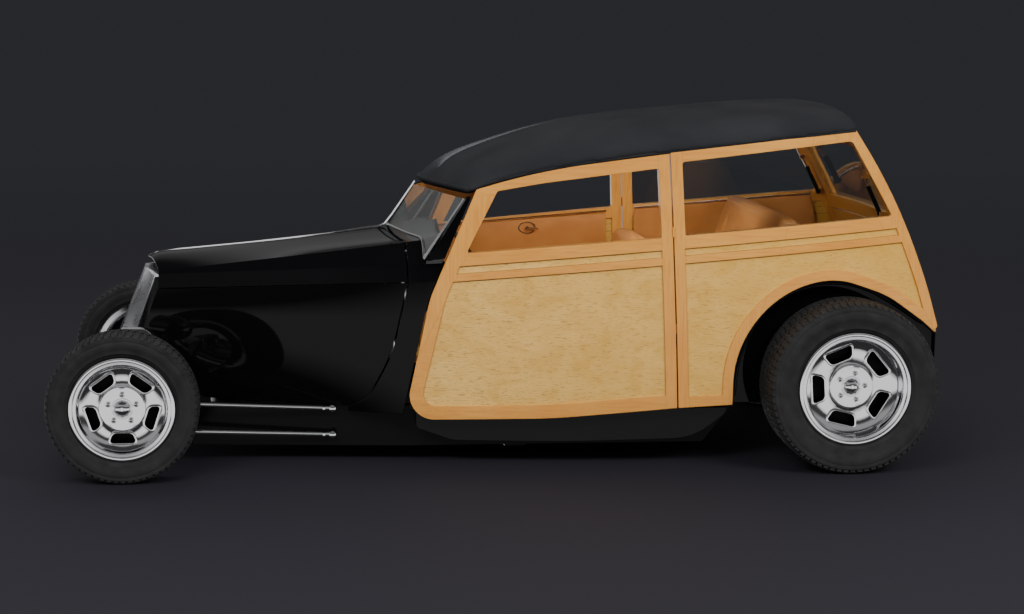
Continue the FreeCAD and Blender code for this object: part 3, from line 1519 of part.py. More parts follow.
def lamps():
    solids = []
    centre_z = 486
    rail_top = d.rail_kick_z + d.rail_kick_height
    for side in (LEFT, RIGHT):
        y = side * d.lamp_y
        shell = Part.makeCylinder(d.lamp_radius, 70, point(-16, y, centre_z), Vector(1, 0, 0))
        rear = Part.makeSphere(d.lamp_radius, point(54, y, centre_z))
        post = Part.makeCylinder(11, 56, point(52, side * 348, rail_top + 0.4), Vector(0, 0, 1))
        solids.append(shell.fuse([rear, post]).removeSplitter())
        end = point(d.wheelbase + 330.4, side * 439, 482)
        stem = Part.makeCylinder(14, 34, end, Vector(1, 0, 0))
        tail = Part.makeCylinder(d.tail_lamp_radius, 28, end + Vector(30, 0, 0), Vector(1, 0, 0))
        solids.append(stem.fuse(tail).removeSplitter())
    return Part.makeCompound(solids)


node(feature("lamps", lamps()), "lamps")


# Gas struts

def strut_axis():
    foot = point(STRUT_FOOT[0], 0, STRUT_FOOT[1])
    head = point(STRUT_HEAD[0], 0, STRUT_HEAD[1])
    return foot, head - foot


def strut_cylinders():
    foot, span = strut_axis()
    unit = Vector(span)
    unit.normalize()
    solids = []
    for side in (LEFT, RIGHT):
        at = foot + Vector(0, side * STRUT_Y, 0)
        eye = Part.makeCylinder(11, 14, at + Vector(0, -7, 0), Vector(0, 1, 0))
        tube = Part.makeCylinder(d.strut_radius, 120, at + unit * 8, span)
        bore = Part.makeCylinder(d.strut_rod_radius + 0.4, 130, at + unit * 12, span)
        solids.append(eye.fuse(tube).cut(bore).removeSplitter())
    return Part.makeCompound(solids)


def strut_rods():
    foot, span = strut_axis()
    unit = Vector(span)
    unit.normalize()
    solids = []
    for side in (LEFT, RIGHT):
        at = foot + Vector(0, side * STRUT_Y, 0)
        shaft = Part.makeCylinder(d.strut_rod_radius, span.Length - 13, at + unit * 13, span)
        eye = Part.makeCylinder(9, 12, at + span + Vector(0, -6, 0), Vector(0, 1, 0))
        solids.append(shaft.fuse(eye).removeSplitter())
    return Part.makeCompound(solids)


node(feature("strut_cylinders", strut_cylinders()), "strut_cylinders")
node(feature("strut_rods", strut_rods()), "strut_rods")


# Check and write

doc.recompute()
for item in doc.Objects:
    if "Invalid" in item.State or "Error" in item.State:
        raise SystemExit("failed: %s %s" % (item.Label, item.State))
os.makedirs("parts", exist_ok=True)
for item in NODES:
    shape = item.Shape
    if shape.isNull() or not shape.isValid() or not shape.Solids:
        raise SystemExit("bad shape: %s" % item.Label)
    shape.exportStep(os.path.join("parts", item.Label + ".step"))
    print("%-20s %2d solids %10.0f cm3" % (item.Label, len(shape.Solids), shape.Volume / 1000))
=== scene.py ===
import bpy
import json
import math
from mathutils import Matrix, Vector


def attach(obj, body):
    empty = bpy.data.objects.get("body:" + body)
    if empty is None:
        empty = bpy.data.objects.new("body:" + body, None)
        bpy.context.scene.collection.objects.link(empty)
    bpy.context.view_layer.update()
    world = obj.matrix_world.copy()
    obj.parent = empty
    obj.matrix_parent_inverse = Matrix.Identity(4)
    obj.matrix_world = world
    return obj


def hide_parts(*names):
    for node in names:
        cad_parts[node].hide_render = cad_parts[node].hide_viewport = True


# Low two-door wood-sided wagon. Metres, front towards -X, the car's left side towards -Y.

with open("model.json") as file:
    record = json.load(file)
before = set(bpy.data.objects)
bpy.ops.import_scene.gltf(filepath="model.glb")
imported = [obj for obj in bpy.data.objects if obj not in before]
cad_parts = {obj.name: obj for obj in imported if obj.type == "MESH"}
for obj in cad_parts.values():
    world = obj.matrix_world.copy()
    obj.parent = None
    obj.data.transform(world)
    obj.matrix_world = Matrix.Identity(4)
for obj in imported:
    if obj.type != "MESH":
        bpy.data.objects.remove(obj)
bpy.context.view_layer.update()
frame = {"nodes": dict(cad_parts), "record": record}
nodes = frame["nodes"]
print("frame loaded")

frontAxleX = -1.5535
rearAxleX = 1.3965


# Modelling helpers

def newest(name):
    piece = bpy.context.object
    piece.name = name
    piece.data.name = name
    return piece


def deselectAll():
    for item in list(bpy.context.selected_objects):
        item.select_set(False)


def makeActive(piece):
    deselectAll()
    piece.select_set(True)
    bpy.context.view_layer.objects.active = piece


def roundEdges(piece, width, segments=2, angle=50):
    modify(piece, "BEVEL", width=width, segments=segments, limit_method="ANGLE",
           angle_limit=math.radians(angle))


def applyPlace(piece):
    makeActive(piece)
    bpy.ops.object.transform_apply(location=True, rotation=True, scale=True)


def modify(piece, kind, **settings):
    makeActive(piece)
    modifier = piece.modifiers.new(kind.lower(), kind)
    for setting, value in settings.items():
        setattr(modifier, setting, value)
    bpy.ops.object.modifier_apply(modifier=modifier.name)


def editAll(piece):
    makeActive(piece)
    bpy.ops.object.mode_set(mode="EDIT")
    bpy.ops.mesh.select_mode(type="VERT")
    bpy.ops.mesh.select_all(action="SELECT")


def leaveEdit():
    bpy.ops.object.mode_set(mode="OBJECT")


def editFaces(piece, wanted):
    # into edit mode with the faces that wanted(centre, normal) picks
    makeActive(piece)
    bpy.ops.object.mode_set(mode="EDIT")
    bpy.ops.mesh.select_mode(type="FACE")
    bpy.ops.mesh.select_all(action="DESELECT")
    bpy.ops.object.mode_set(mode="OBJECT")
    for face in piece.data.polygons:
        face.select = bool(wanted(piece.matrix_world @ face.center, face.normal))
    bpy.ops.object.mode_set(mode="EDIT")


def editVertices(piece, wanted):
    makeActive(piece)
    bpy.ops.object.mode_set(mode="EDIT")
    bpy.ops.mesh.select_mode(type="VERT")
    bpy.ops.mesh.select_all(action="DESELECT")
    bpy.ops.object.mode_set(mode="OBJECT")
    for vertex in piece.data.vertices:
        vertex.select = bool(wanted(piece.matrix_world @ vertex.co))
    bpy.ops.object.mode_set(mode="EDIT")


def smooth(piece, angle=30):
    makeActive(piece)
    bpy.ops.object.shade_smooth_by_angle(angle=math.radians(angle))


def dress(piece, material):
    piece.data.materials.clear()
    piece.data.materials.append(material)


def finishPiece(piece, body, slot, angle=30, material=None):
    applyPlace(piece)
    smooth(piece, angle)
    dress(piece, material or finishes[slot])
    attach(piece, body)


def joinPieces(name, parts):
    deselectAll()
    for part in parts:
        part.select_set(True)
    bpy.context.view_layer.objects.active = parts[0]
    if len(parts) > 1:
        bpy.ops.object.join()
    return newest(name)


def copyPiece(piece, name):
    twin = piece.copy()
    twin.data = piece.data.copy()
    twin.name = name
    twin.data.name = name
    bpy.context.scene.collection.objects.link(twin)
    return twin


def otherSide(piece, name, axleX=None):
    # the same piece on the car's right side: turned half round, or mirrored where no axle is given
    twin = copyPiece(piece, name)
    if axleX is None:
        twin.data.transform(Matrix.Scale(-1, 4, (0, 1, 0)))
        twin.data.flip_normals()
    else:
        middle = Matrix.Translation((axleX, 0, 0))
        twin.data.transform(middle @ Matrix.Rotation(math.pi, 4, "Z") @ middle.inverted())
    return twin


def mergedCopy(name, nodeName):
    # a merged copy of a node, so that its curved faces shade smoothly
    piece = copyPiece(nodes[nodeName], name)
    piece.parent = None
    for key in list(piece.keys()):
        del piece[key]
    editAll(piece)
    bpy.ops.mesh.remove_doubles(threshold=0.00002)
    leaveEdit()
    smooth(piece)
    return piece


def turnedPiece(name, profile, centre, axis, steps):
    # a profile of (along the axis, radius) pairs carried once round the level axis
    axis = Vector(axis)
    up = Vector((0, 0, 1))
    centre = Vector(centre)
    places = [centre + axis * along + up * radius for along, radius in profile]
    deselectAll()
    bpy.ops.mesh.primitive_plane_add(size=0.001, location=places[0])
    piece = newest(name)
    bpy.ops.object.mode_set(mode="EDIT")
    bpy.ops.mesh.select_all(action="SELECT")
    bpy.ops.mesh.merge(type="CENTER")
    for before, after in zip(places, places[1:]):
        bpy.ops.mesh.extrude_region_move(TRANSFORM_OT_translate={"value": after - before})
    bpy.ops.mesh.select_all(action="SELECT")
    bpy.ops.mesh.spin(steps=steps, angle=2 * math.pi, center=centre, axis=axis)
    bpy.ops.mesh.select_all(action="SELECT")
    bpy.ops.mesh.remove_doubles(threshold=0.00003)
    bpy.ops.mesh.normals_make_consistent(inside=False)
    leaveEdit()
    applyPlace(piece)
    return piece


def boxPiece(name, centre, size, edge=0.0, segments=2):
    deselectAll()
    bpy.ops.mesh.primitive_cube_add(size=1, location=centre, scale=size)
    piece = newest(name)
    applyPlace(piece)
    if edge:
        editAll(piece)
        bpy.ops.mesh.bevel(offset=edge, segments=segments, affect="EDGES")
        leaveEdit()
    return piece


def rodPiece(name, start, end, radius, vertices=20, edge=0.0):
    start = Vector(start)
    span = Vector(end) - start
    deselectAll()
    bpy.ops.mesh.primitive_cylinder_add(vertices=vertices, radius=radius, depth=span.length,
                                        location=start + span / 2,
                                        rotation=span.to_track_quat("Z", "Y").to_euler())
    piece = newest(name)
    applyPlace(piece)
    if edge:
        roundEdges(piece, edge)
    return piece


def tubePiece(name, places, radius):
    # a round bead along a run of places
    deselectAll()
    bpy.ops.curve.primitive_nurbs_path_add()
    run = bpy.context.object
    spline = run.data.splines[0]
    spline.points.add(max(0, len(places) - len(spline.points)))
    count = len(spline.points)
    for i, point in enumerate(spline.points):
        share = i * (len(places) - 1) / (count - 1)
        first = min(int(share), len(places) - 2)
        place = Vector(places[first]).lerp(Vector(places[first + 1]), share - first)
        point.co = (*place, 1)
    spline.order_u = 3
    spline.use_endpoint_u = True
    spline.resolution_u = 5
    run.data.bevel_depth = radius
    run.data.bevel_resolution = 3
    run.data.use_fill_caps = True
    makeActive(run)
    bpy.ops.object.convert(target="MESH")
    piece = newest(name)
    editAll(piece)
    bpy.ops.mesh.remove_doubles(threshold=0.00003)
    bpy.ops.mesh.normals_make_consistent(inside=False)
    leaveEdit()
    return piece


def sidePlate(name, corners, depth, thickness, side, edge):
    # a plate on the body side between four corners (x, z): low front, low rear, high rear, high front
    deselectAll()
    bpy.ops.mesh.primitive_grid_add(x_subdivisions=24, y_subdivisions=8, size=2)
    plate = newest(name)
    lowFront, lowRear, highRear, highFront = [Vector((x, z)) for x, z in corners]
    for vertex in plate.data.vertices:
        along, up = (vertex.co.x + 1) / 2, (vertex.co.y + 1) / 2
        place = lowFront.lerp(lowRear, along).lerp(highFront.lerp(highRear, along), up)
        vertex.co = onSide(place.x, place.y, depth, side)
    modify(plate, "SOLIDIFY", thickness=thickness, offset=0)
    editAll(plate)
    bpy.ops.mesh.normals_make_consistent(inside=False)
    leaveEdit()
    roundEdges(plate, edge, 3)
    return plate


# Camera, light and floor

camera = {
    "place": (-0.9907, -9.3644, 1.9381),
    "yaw": 0.127,
    "pitch": 0.159,
    "roll": 0.012,
    "lens": 76.43,
    "shift": (-0.02705, 0.03369),
}


def makeCamera():
    lens = bpy.data.cameras.new("photoCamera")
    lens.lens = camera["lens"]
    lens.sensor_width = 36
    lens.shift_x, lens.shift_y = camera["shift"]
    lens.clip_end = 600
    eye = bpy.data.objects.new("photoCamera", lens)
    bpy.context.scene.collection.objects.link(eye)
    yaw, pitch, roll = camera["yaw"], camera["pitch"], camera["roll"]
    ahead = Vector((math.sin(yaw) * math.cos(pitch), math.cos(yaw) * math.cos(pitch), -math.sin(pitch)))
    right = Vector((math.cos(yaw), -math.sin(yaw), 0))
    upward = right.cross(ahead)
    rolledRight = right * math.cos(roll) + upward * math.sin(roll)
    rolledUp = upward * math.cos(roll) - right * math.sin(roll)
    turn = Matrix((rolledRight, rolledUp, -ahead)).transposed()
    eye.matrix_world = Matrix.Translation(camera["place"]) @ turn.to_4x4()
    bpy.context.scene.camera = eye


studio = {
    "worldStrength": 0.85,
    "backdrop": (0.0255, 0.0270, 0.0315),
    # what polished parts see: rise of the view and its level
    "bands": [(-0.42, 0.03), (-0.28, 1.0), (-0.09, 1.0), (0.0, 0.04), (0.16, 0.04), (0.32, 0.30),
              (0.62, 0.28), (0.78, 0.04), (1.0, 0.04)],
    "floor": (0.0205, 0.0200, 0.0260),
    "floorFade": (5.0, 16.0),
    "lamps": [
        # place, aim, size, watts, whether polished parts show it
        ((-2.6, -5.5, 4.6), (-0.4, 0.0, 0.6), (3.6, 1.6), 260, False),
        ((3.4, -4.6, 3.8), (0.8, 0.0, 0.7), (2.4, 1.6), 190, False),
        ((-0.5, 1.6, 5.2), (0.0, 0.0, 1.0), (4.5, 1.5), 50, False),
        ((-5.5, 2.5, 3.2), (-1.0, 0.0, 0.6), (2.0, 2.0), 40, False),
        ((0.35, -0.10, 1.29), (0.40, 0.45, 0.70), (1.2, 0.3), 9, False),
    ],
}


def lightStudio():
    world = bpy.data.worlds.new("studioWorld")
    bpy.context.scene.world = world
    world.use_nodes = True
    world.node_tree.nodes.clear()
    net = Net(world)
    seen = net.add("ShaderNodeBackground")
    light = net.add("ShaderNodeBackground")
    light.inputs["Color"].default_value = (1.0, 1.0, 1.0, 1)
    light.inputs["Strength"].default_value = studio["worldStrength"]
    # polished parts see a low pale band and a grey band higher up round the dark backdrop, under a dark top
    towards = net.add("ShaderNodeTexCoord")
    split = net.add("ShaderNodeSeparateXYZ")
    net.wire(towards.outputs["Generated"], split.inputs[0])
    stops = [((rise + 1) / 2, grey(level)) for rise, level in studio["bands"]]
    bands = net.ramp(net.maths("MULTIPLY_ADD", split.outputs[2], 0.5, 0.5), stops)
    path = net.add("ShaderNodeLightPath")
    polished = net.mix(path.outputs["Is Glossy Ray"], studio["backdrop"], bands)
    net.wire(polished, seen.inputs["Color"])
    either = net.maths("MAXIMUM", path.outputs["Is Camera Ray"], path.outputs["Is Glossy Ray"])
    either = net.maths("MAXIMUM", either, path.outputs["Is Transmission Ray"])
    mixer = net.add("ShaderNodeMixShader")
    output = net.add("ShaderNodeOutputWorld")
    for source, target in ((either, mixer.inputs[0]), (light.outputs[0], mixer.inputs[1]),
                           (seen.outputs[0], mixer.inputs[2]), (mixer.outputs[0], output.inputs["Surface"])):
        net.wire(source, target)
    for place, aim, size, watts, reflected in studio["lamps"]:
        lamp = bpy.data.lights.new("softLamp", "AREA")
        lamp.shape = "RECTANGLE"
        lamp.size, lamp.size_y = size
        lamp.energy = watts
        holder = bpy.data.objects.new("softLamp", lamp)
        holder.location = place
        holder.visible_glossy = reflected
        holder.visible_camera = False
        holder.rotation_euler = (Vector(aim) - Vector(place)).to_track_quat("-Z", "Y").to_euler()
        bpy.context.scene.collection.objects.link(holder)
    deselectAll()
    bpy.ops.mesh.primitive_plane_add(size=400, location=(0, 0, 0))
    floor = bpy.context.object
    floor.name = "studioFloor"
    floor.visible_glossy = False
    paint, shader = newMaterial("studioFloor", studio["floor"], roughness=0.8, specular=0.1)
    floor.data.materials.append(paint)
    # far off, the floor takes the backdrop's own tone, so that no horizon shows
    net = Net(paint)
    reach = net.add("ShaderNodeVectorMath", operation="LENGTH")
    net.wire(net.place, reach.inputs[0])
    nearEdge, farEdge = studio["floorFade"]
    fade = net.maths("DIVIDE", net.maths("SUBTRACT", reach.outputs["Value"], nearEdge), farEdge - nearEdge)
    glow = net.add("ShaderNodeEmission")
    glow.inputs["Color"].default_value = (*studio["backdrop"], 1)
    blend = net.add("ShaderNodeMixShader")
    net.wire(net.maths("MINIMUM", net.maths("MAXIMUM", fade, 0.0), 1.0), blend.inputs[0])
    net.wire(shader.outputs[0], blend.inputs[1])
    net.wire(glow.outputs[0], blend.inputs[2])
    sink = [item for item in net.tree.nodes if item.type == "OUTPUT_MATERIAL"][0]
    net.wire(blend.outputs[0], sink.inputs["Surface"])


# Materials

def newMaterial(name, colour, roughness, metallic=0.0, coat=0.0, coatRoughness=0.05, specular=0.5,
                through=0.0):
    material = bpy.data.materials.new(name)
    material.use_nodes = True
    shader = material.node_tree.nodes["Principled BSDF"]
    shader.inputs["Base Color"].default_value = (*colour, 1)
    shader.inputs["Roughness"].default_value = roughness
    shader.inputs["Metallic"].default_value = metallic
    shader.inputs["Coat Weight"].default_value = coat
    shader.inputs["Coat Roughness"].default_value = coatRoughness
    shader.inputs["Specular IOR Level"].default_value = specular
    shader.inputs["Transmission Weight"].default_value = through
    if through:
        shader.inputs["IOR"].default_value = 1.45
    return material, shader


class Net:
    # short calls for the nodes of one material
    def __init__(self, material):
        self.tree = material.node_tree
        self.place = self.tree.nodes.new("ShaderNodeTexCoord").outputs["Object"]

    def add(self, kind, **settings):
        item = self.tree.nodes.new(kind)
        for setting, value in settings.items():
            setattr(item, setting, value)
        return item

    def wire(self, source, target):
        if hasattr(source, "is_linked"):
            self.tree.links.new(source, target)
        else:
            target.default_value = source

    def maths(self, operation, first, second=0.0, third=0.0):
        item = self.add("ShaderNodeMath", operation=operation)
        self.wire(first, item.inputs[0])
        self.wire(second, item.inputs[1])
        self.wire(third, item.inputs[2])
        return item.outputs[0]

    def axes(self):
        item = self.add("ShaderNodeSeparateXYZ")
        self.wire(self.place, item.inputs[0])
        return item.outputs[0], item.outputs[1], item.outputs[2]

    def stretched(self, scale):
        item = self.add("ShaderNodeMapping")
        self.wire(self.place, item.inputs["Vector"])
        item.inputs["Scale"].default_value = scale
        return item.outputs[0]

    def noise(self, place, scale, detail=3.0, roughness=0.55, distortion=0.0):
        item = self.add("ShaderNodeTexNoise")
        self.wire(place, item.inputs["Vector"])
        item.inputs["Scale"].default_value = scale
        item.inputs["Detail"].default_value = detail
        item.inputs["Roughness"].default_value = roughness
        item.inputs["Distortion"].default_value = distortion
        return item.outputs["Fac"]

    def ramp(self, value, stops):
        item = self.add("ShaderNodeValToRGB")
        self.wire(value, item.inputs[0])
        points = item.color_ramp.elements
        while len(points) < len(stops):
            points.new(0.5)
        for point, (at, colour) in zip(points, stops):
            point.position = at
            point.color = (*colour, 1) if len(colour) == 3 else colour
        return item.outputs[0]

    def mix(self, share, first, second):
        item = self.add("ShaderNodeMix", data_type="RGBA")
        self.wire(share, item.inputs[0])
        self.wire(first if hasattr(first, "is_linked") else (*first, 1), item.inputs[6])
        self.wire(second if hasattr(second, "is_linked") else (*second, 1), item.inputs[7])
        return item.outputs[2]

    def bump(self, height, strength, distance, normal=None):
        item = self.add("ShaderNodeBump")
        item.inputs["Strength"].default_value = strength
        item.inputs["Distance"].default_value = distance
        self.wire(height, item.inputs["Height"])
        if normal is not None:
            self.wire(normal, item.inputs["Normal"])
        return item.outputs[0]

    def softEdges(self, radius, samples=4):
        item = self.add("ShaderNodeBevel", samples=samples)
        item.inputs["Radius"].default_value = radius
        return item.outputs[0]

    def between(self, value, low, high):
        # 1 where value lies between low and high
        above = self.maths("GREATER_THAN", value, low)
        below = self.maths("LESS_THAN", value, high)
        return self.maths("MULTIPLY", above, below)


def grey(level):
    return (level, level, level)


wood = {
    "frameLight": (0.77, 0.365, 0.075),
    "frameDark": (0.56, 0.205, 0.030),
    "panelLight": (0.80, 0.500, 0.145),
    "panelDark": (0.64, 0.345, 0.066),
    "fleck": (0.33, 0.165, 0.040),
    "rearPanel": (0.60, 0.30, 0.030),
    "lineHalf": 0.0007,
    "innerLight": (0.60, 0.235, 0.042),
    "innerDark": (0.40, 0.125, 0.020),
}


def mapleFrame(name, light, dark, postMask):
    # glossy varnished maple: grain runs along the rails, and up the posts that postMask marks
    material, shader = newMaterial(name, light, roughness=0.32, coat=0.3, specular=0.3)
    net = Net(material)
    alongRail = net.stretched((2.2, 34, 46))
    alongPost = net.stretched((46, 34, 2.2))
    rail = net.noise(alongRail, 2.2, 6, 0.6, 0.5)
    post = net.noise(alongPost, 2.2, 6, 0.6, 0.5)
    railFine = net.noise(net.stretched((5, 160, 260)), 2.0, 3, 0.6)
    postFine = net.noise(net.stretched((260, 160, 5)), 2.0, 3, 0.6)
    mask, joint = postMask(net)
    lines = net.mix(mask, rail, post)
    fine = net.mix(mask, railFine, postFine)
    cloud = net.noise(net.stretched((1.4, 1.4, 2.6)), 1.6, 2, 0.5)
    colour = net.ramp(lines, [(0.25, dark), (0.52, light), (0.78, [min(1, c * 1.1) for c in light])])
    colour = net.mix(0.35, colour, net.ramp(fine, [(0.3, dark), (0.7, light)]))
    colour = net.mix(net.ramp(cloud, [(0.30, grey(0)), (0.75, grey(0.6))]), colour, dark)
    colour = net.mix(net.maths("MULTIPLY", joint, 0.55), colour, [c * 0.35 for c in dark])
    net.wire(colour, shader.inputs["Base Color"])
    rounded = net.softEdges(0.0035)
    net.wire(net.bump(fine, 0.12, 0.0004, rounded), shader.inputs["Normal"])
    net.wire(rounded, shader.inputs["Coat Normal"])
    return material


def sideMask(net):
    # posts beside the leaning gap behind the door, the door's front post and the body's rear edge, and
    # the dark joint lines between posts and rails
    x, y, z = net.axes()
    lean = net.maths("MULTIPLY", net.maths("SUBTRACT", z, 0.25), -0.0476)
    fromGap = net.maths("SUBTRACT", x, net.maths("ADD", lean, 0.6985))
    middle = net.between(fromGap, -0.0495, 0.0488)
    postEdge = net.maths("ADD", net.maths("MULTIPLY", net.maths("SUBTRACT", z, 0.70), 0.47), -0.258)
    doorLow = net.maths("LESS_THAN", x, postEdge)
    doorHigh = net.maths("LESS_THAN", z, 1.122)
    frontPost = net.maths("MULTIPLY", doorLow, doorHigh)
    rearEdge = net.maths("ADD", net.maths("MULTIPLY", net.maths("SUBTRACT", z, 0.97), -0.56), 1.566)
    rearPost = net.maths("GREATER_THAN", x, rearEdge)
    archBand = net.maths("MULTIPLY", net.between(x, 0.905, 1.06), net.maths("LESS_THAN", z, 0.66))
    both = net.maths("MAXIMUM", middle, frontPost)
    both = net.maths("MAXIMUM", both, rearPost)
    line = wood["lineHalf"]
    joint = net.between(net.maths("ABSOLUTE", fromGap), 0.0486, 0.0500)
    leaning = net.maths("ADD", net.maths("MULTIPLY", z, 0.47), -0.587)
    frontLine = net.between(net.maths("SUBTRACT", x, leaning), -line, line)
    joint = net.maths("MAXIMUM", joint, net.maths("MULTIPLY", frontLine, doorHigh))
    joint = net.maths("MAXIMUM", joint, net.between(net.maths("SUBTRACT", x, rearEdge), -line, line))
    archFoot = net.maths("ADD", x, net.maths("MULTIPLY", z, -0.3))
    joint = net.maths("MAXIMUM", joint, net.between(archFoot, 0.8430, 0.8442))
    return net.maths("MAXIMUM", both, archBand), joint


def gateMask(net):
    x, y, z = net.axes()
    across = net.maths("ABSOLUTE", y)
    return net.maths("GREATER_THAN", across, 0.478), net.between(across, 0.4775, 0.4788)


def maplePanel(name, light, dark, fleck):
    # paler panel veneer with short level flecks
    material, shader = newMaterial(name, light, roughness=0.34, coat=0.25, coatRoughness=0.06, specular=0.3)
    net = Net(material)
    curl = net.noise(net.stretched((5, 5, 7)), 1.5, 3, 0.55, 0.8)
    cloud = net.noise(net.stretched((1.2, 1.2, 2.2)), 1.3, 2, 0.5)
    grain = net.noise(net.stretched((9, 60, 110)), 2.0, 4, 0.6)
    dashes = net.noise(net.stretched((24, 60, 190)), 1.6, 2, 0.5, 0.4)
    figure = net.noise(net.stretched((4.5, 4.5, 42)), 1.5, 4, 0.6, 1.6)
    colour = net.ramp(curl, [(0.28, dark), (0.58, light), (0.85, [min(1, c * 1.06) for c in light])])
    colour = net.mix(0.22, colour, net.ramp(grain, [(0.3, dark), (0.7, light)]))
    colour = net.mix(net.ramp(cloud, [(0.35, grey(0.0)), (0.8, grey(0.35))]), colour, dark)
    figured = net.ramp(figure, [(0.50, grey(0.0)), (0.58, grey(0.40)), (0.66, grey(0.0))])
    colour = net.mix(figured, colour, dark)
    marks = net.ramp(dashes, [(0.585, grey(0.0)), (0.66, grey(0.70))])
    colour = net.mix(marks, colour, fleck)
    # warmer towards the rear, and dark where the rails meet the recessed panel
    x, y, z = net.axes()
    rearward = net.maths("MULTIPLY", net.maths("ADD", x, 1.0), 0.36)
    colour = net.mix(net.ramp(rearward, [(0.25, grey(0.0)), (0.95, grey(0.62))]), colour, wood["rearPanel"])
    below = net.maths("SUBTRACT", net.maths("ADD", net.maths("MULTIPLY", x, 0.0865), 0.90285), z)
    edge = net.between(below, 0.0520, 0.0547)
    edge = net.maths("MAXIMUM", edge, net.between(below, 0.0802, 0.0820))
    edge = net.maths("MAXIMUM", edge, net.between(below, 0.1130, 0.1157))
    colour = net.mix(net.maths("MULTIPLY", edge, 0.75), colour, [c * 0.4 for c in fleck])
    net.wire(colour, shader.inputs["Base Color"])
    net.wire(net.bump(grain, 0.08, 0.0003), shader.inputs["Normal"])
    return material


def glossPaint(name, colour, roughness=0.06, specular=0.3, edge=0.003):
    material, shader = newMaterial(name, colour, roughness=roughness, specular=specular)
    net = Net(material)
    flow = net.noise(net.place, 3.0, 1, 0.5)
    fleck = net.noise(net.place, 900, 1, 0.5)
    paler = [c * 1.5 + 0.002 for c in colour]
    tone = net.mix(net.ramp(fleck, [(0.4, grey(0)), (0.7, grey(0.5))]), colour, paler)
    net.wire(tone, shader.inputs["Base Color"])
    rounded = net.softEdges(edge, 8)
    net.wire(net.bump(flow, 0.02, 0.002, rounded), shader.inputs["Normal"])
    return material


def satinMetal(name, colour, roughness, grainScale=400, edge=0.0015):
    material, shader = newMaterial(name, colour, roughness=roughness, metallic=1.0)
    net = Net(material)
    patch = net.noise(net.place, 12, 3, 0.5)
    net.wire(net.ramp(patch, [(0.3, grey(max(0.0, roughness - 0.04))), (0.7, grey(roughness + 0.05))]),
             shader.inputs["Roughness"])
    tone = net.mix(patch, [c * 0.9 for c in colour], colour)
    net.wire(tone, shader.inputs["Base Color"])
    grit = net.noise(net.place, grainScale, 2, 0.5)
    rounded = net.softEdges(edge)
    net.wire(net.bump(grit, 0.05, 0.0003, rounded), shader.inputs["Normal"])
    return material


def chromeMetal(name, colour=(0.83, 0.84, 0.85), roughness=0.035):
    material, shader = newMaterial(name, colour, roughness=roughness, metallic=1.0)
    net = Net(material)
    haze = net.noise(net.place, 9, 3, 0.55)
    hazy = net.ramp(haze, [(0.35, grey(roughness)), (0.75, grey(roughness + 0.04))])
    net.wire(hazy, shader.inputs["Roughness"])
    net.wire(net.softEdges(0.0012), shader.inputs["Normal"])
    return material


def rubber(name):
    material, shader = newMaterial(name, (0.014, 0.014, 0.015), roughness=0.7, specular=0.3)
    net = Net(material)
    dust = net.noise(net.place, 22, 4, 0.6)
    grain = net.noise(net.place, 700, 2, 0.6)
    tone = net.ramp(dust, [(0.3, (0.015, 0.015, 0.0157)), (0.75, (0.028, 0.028, 0.028))])
    net.wire(tone, shader.inputs["Base Color"])
    net.wire(net.ramp(dust, [(0.3, grey(0.62)), (0.7, grey(0.8))]), shader.inputs["Roughness"])
    net.wire(net.bump(grain, 0.2, 0.0004), shader.inputs["Normal"])
    return material


def roofCloth(name):
    # matte black woven top material with a faint long-grain pattern
    material, shader = newMaterial(name, (0.008, 0.0085, 0.010), roughness=0.85, specular=0.07)
    net = Net(material)
    alongThreads = net.add("ShaderNodeTexWave", wave_type="BANDS", bands_direction="X")
    net.wire(net.place, alongThreads.inputs["Vector"])
    alongThreads.inputs["Scale"].default_value = 260
    acrossThreads = net.add("ShaderNodeTexWave", wave_type="BANDS", bands_direction="Y")
    net.wire(net.place, acrossThreads.inputs["Vector"])
    acrossThreads.inputs["Scale"].default_value = 260
    weave = net.maths("MULTIPLY", alongThreads.outputs["Fac"], acrossThreads.outputs["Fac"])
    soft = net.noise(net.place, 4, 3, 0.5)
    tone = net.ramp(soft, [(0.3, (0.017, 0.0175, 0.0195)), (0.75, (0.025, 0.0255, 0.0280))])
    tone = net.mix(net.maths("MULTIPLY", weave, 0.35), tone, (0.032, 0.0325, 0.036))
    net.wire(tone, shader.inputs["Base Color"])
    net.wire(net.bump(weave, 0.35, 0.0006), shader.inputs["Normal"])
    return material


def leather(name, light, dark, roughness=0.42):
    material, shader = newMaterial(name, light, roughness=roughness)
    net = Net(material)
    cells = net.add("ShaderNodeTexVoronoi", feature="DISTANCE_TO_EDGE")
    net.wire(net.place, cells.inputs["Vector"])
    cells.inputs["Scale"].default_value = 420
    pores = net.ramp(cells.outputs["Distance"], [(0.0, grey(0.0)), (0.12, grey(1.0))])
    patch = net.noise(net.place, 5, 3, 0.55)
    tone = net.ramp(patch, [(0.3, dark), (0.7, light)])
    tone = net.mix(net.maths("MULTIPLY", net.maths("SUBTRACT", 1.0, pores), 0.35), tone, dark)
    net.wire(tone, shader.inputs["Base Color"])
    worn = net.ramp(patch, [(0.3, grey(roughness - 0.05)), (0.7, grey(roughness + 0.1))])
    net.wire(worn, shader.inputs["Roughness"])
    wrinkle = net.noise(net.place, 60, 4, 0.6)
    height = net.maths("ADD", net.maths("MULTIPLY", pores, 0.6), net.maths("MULTIPLY", wrinkle, 0.6))
    net.wire(net.bump(height, 0.3, 0.0007), shader.inputs["Normal"])
    return material


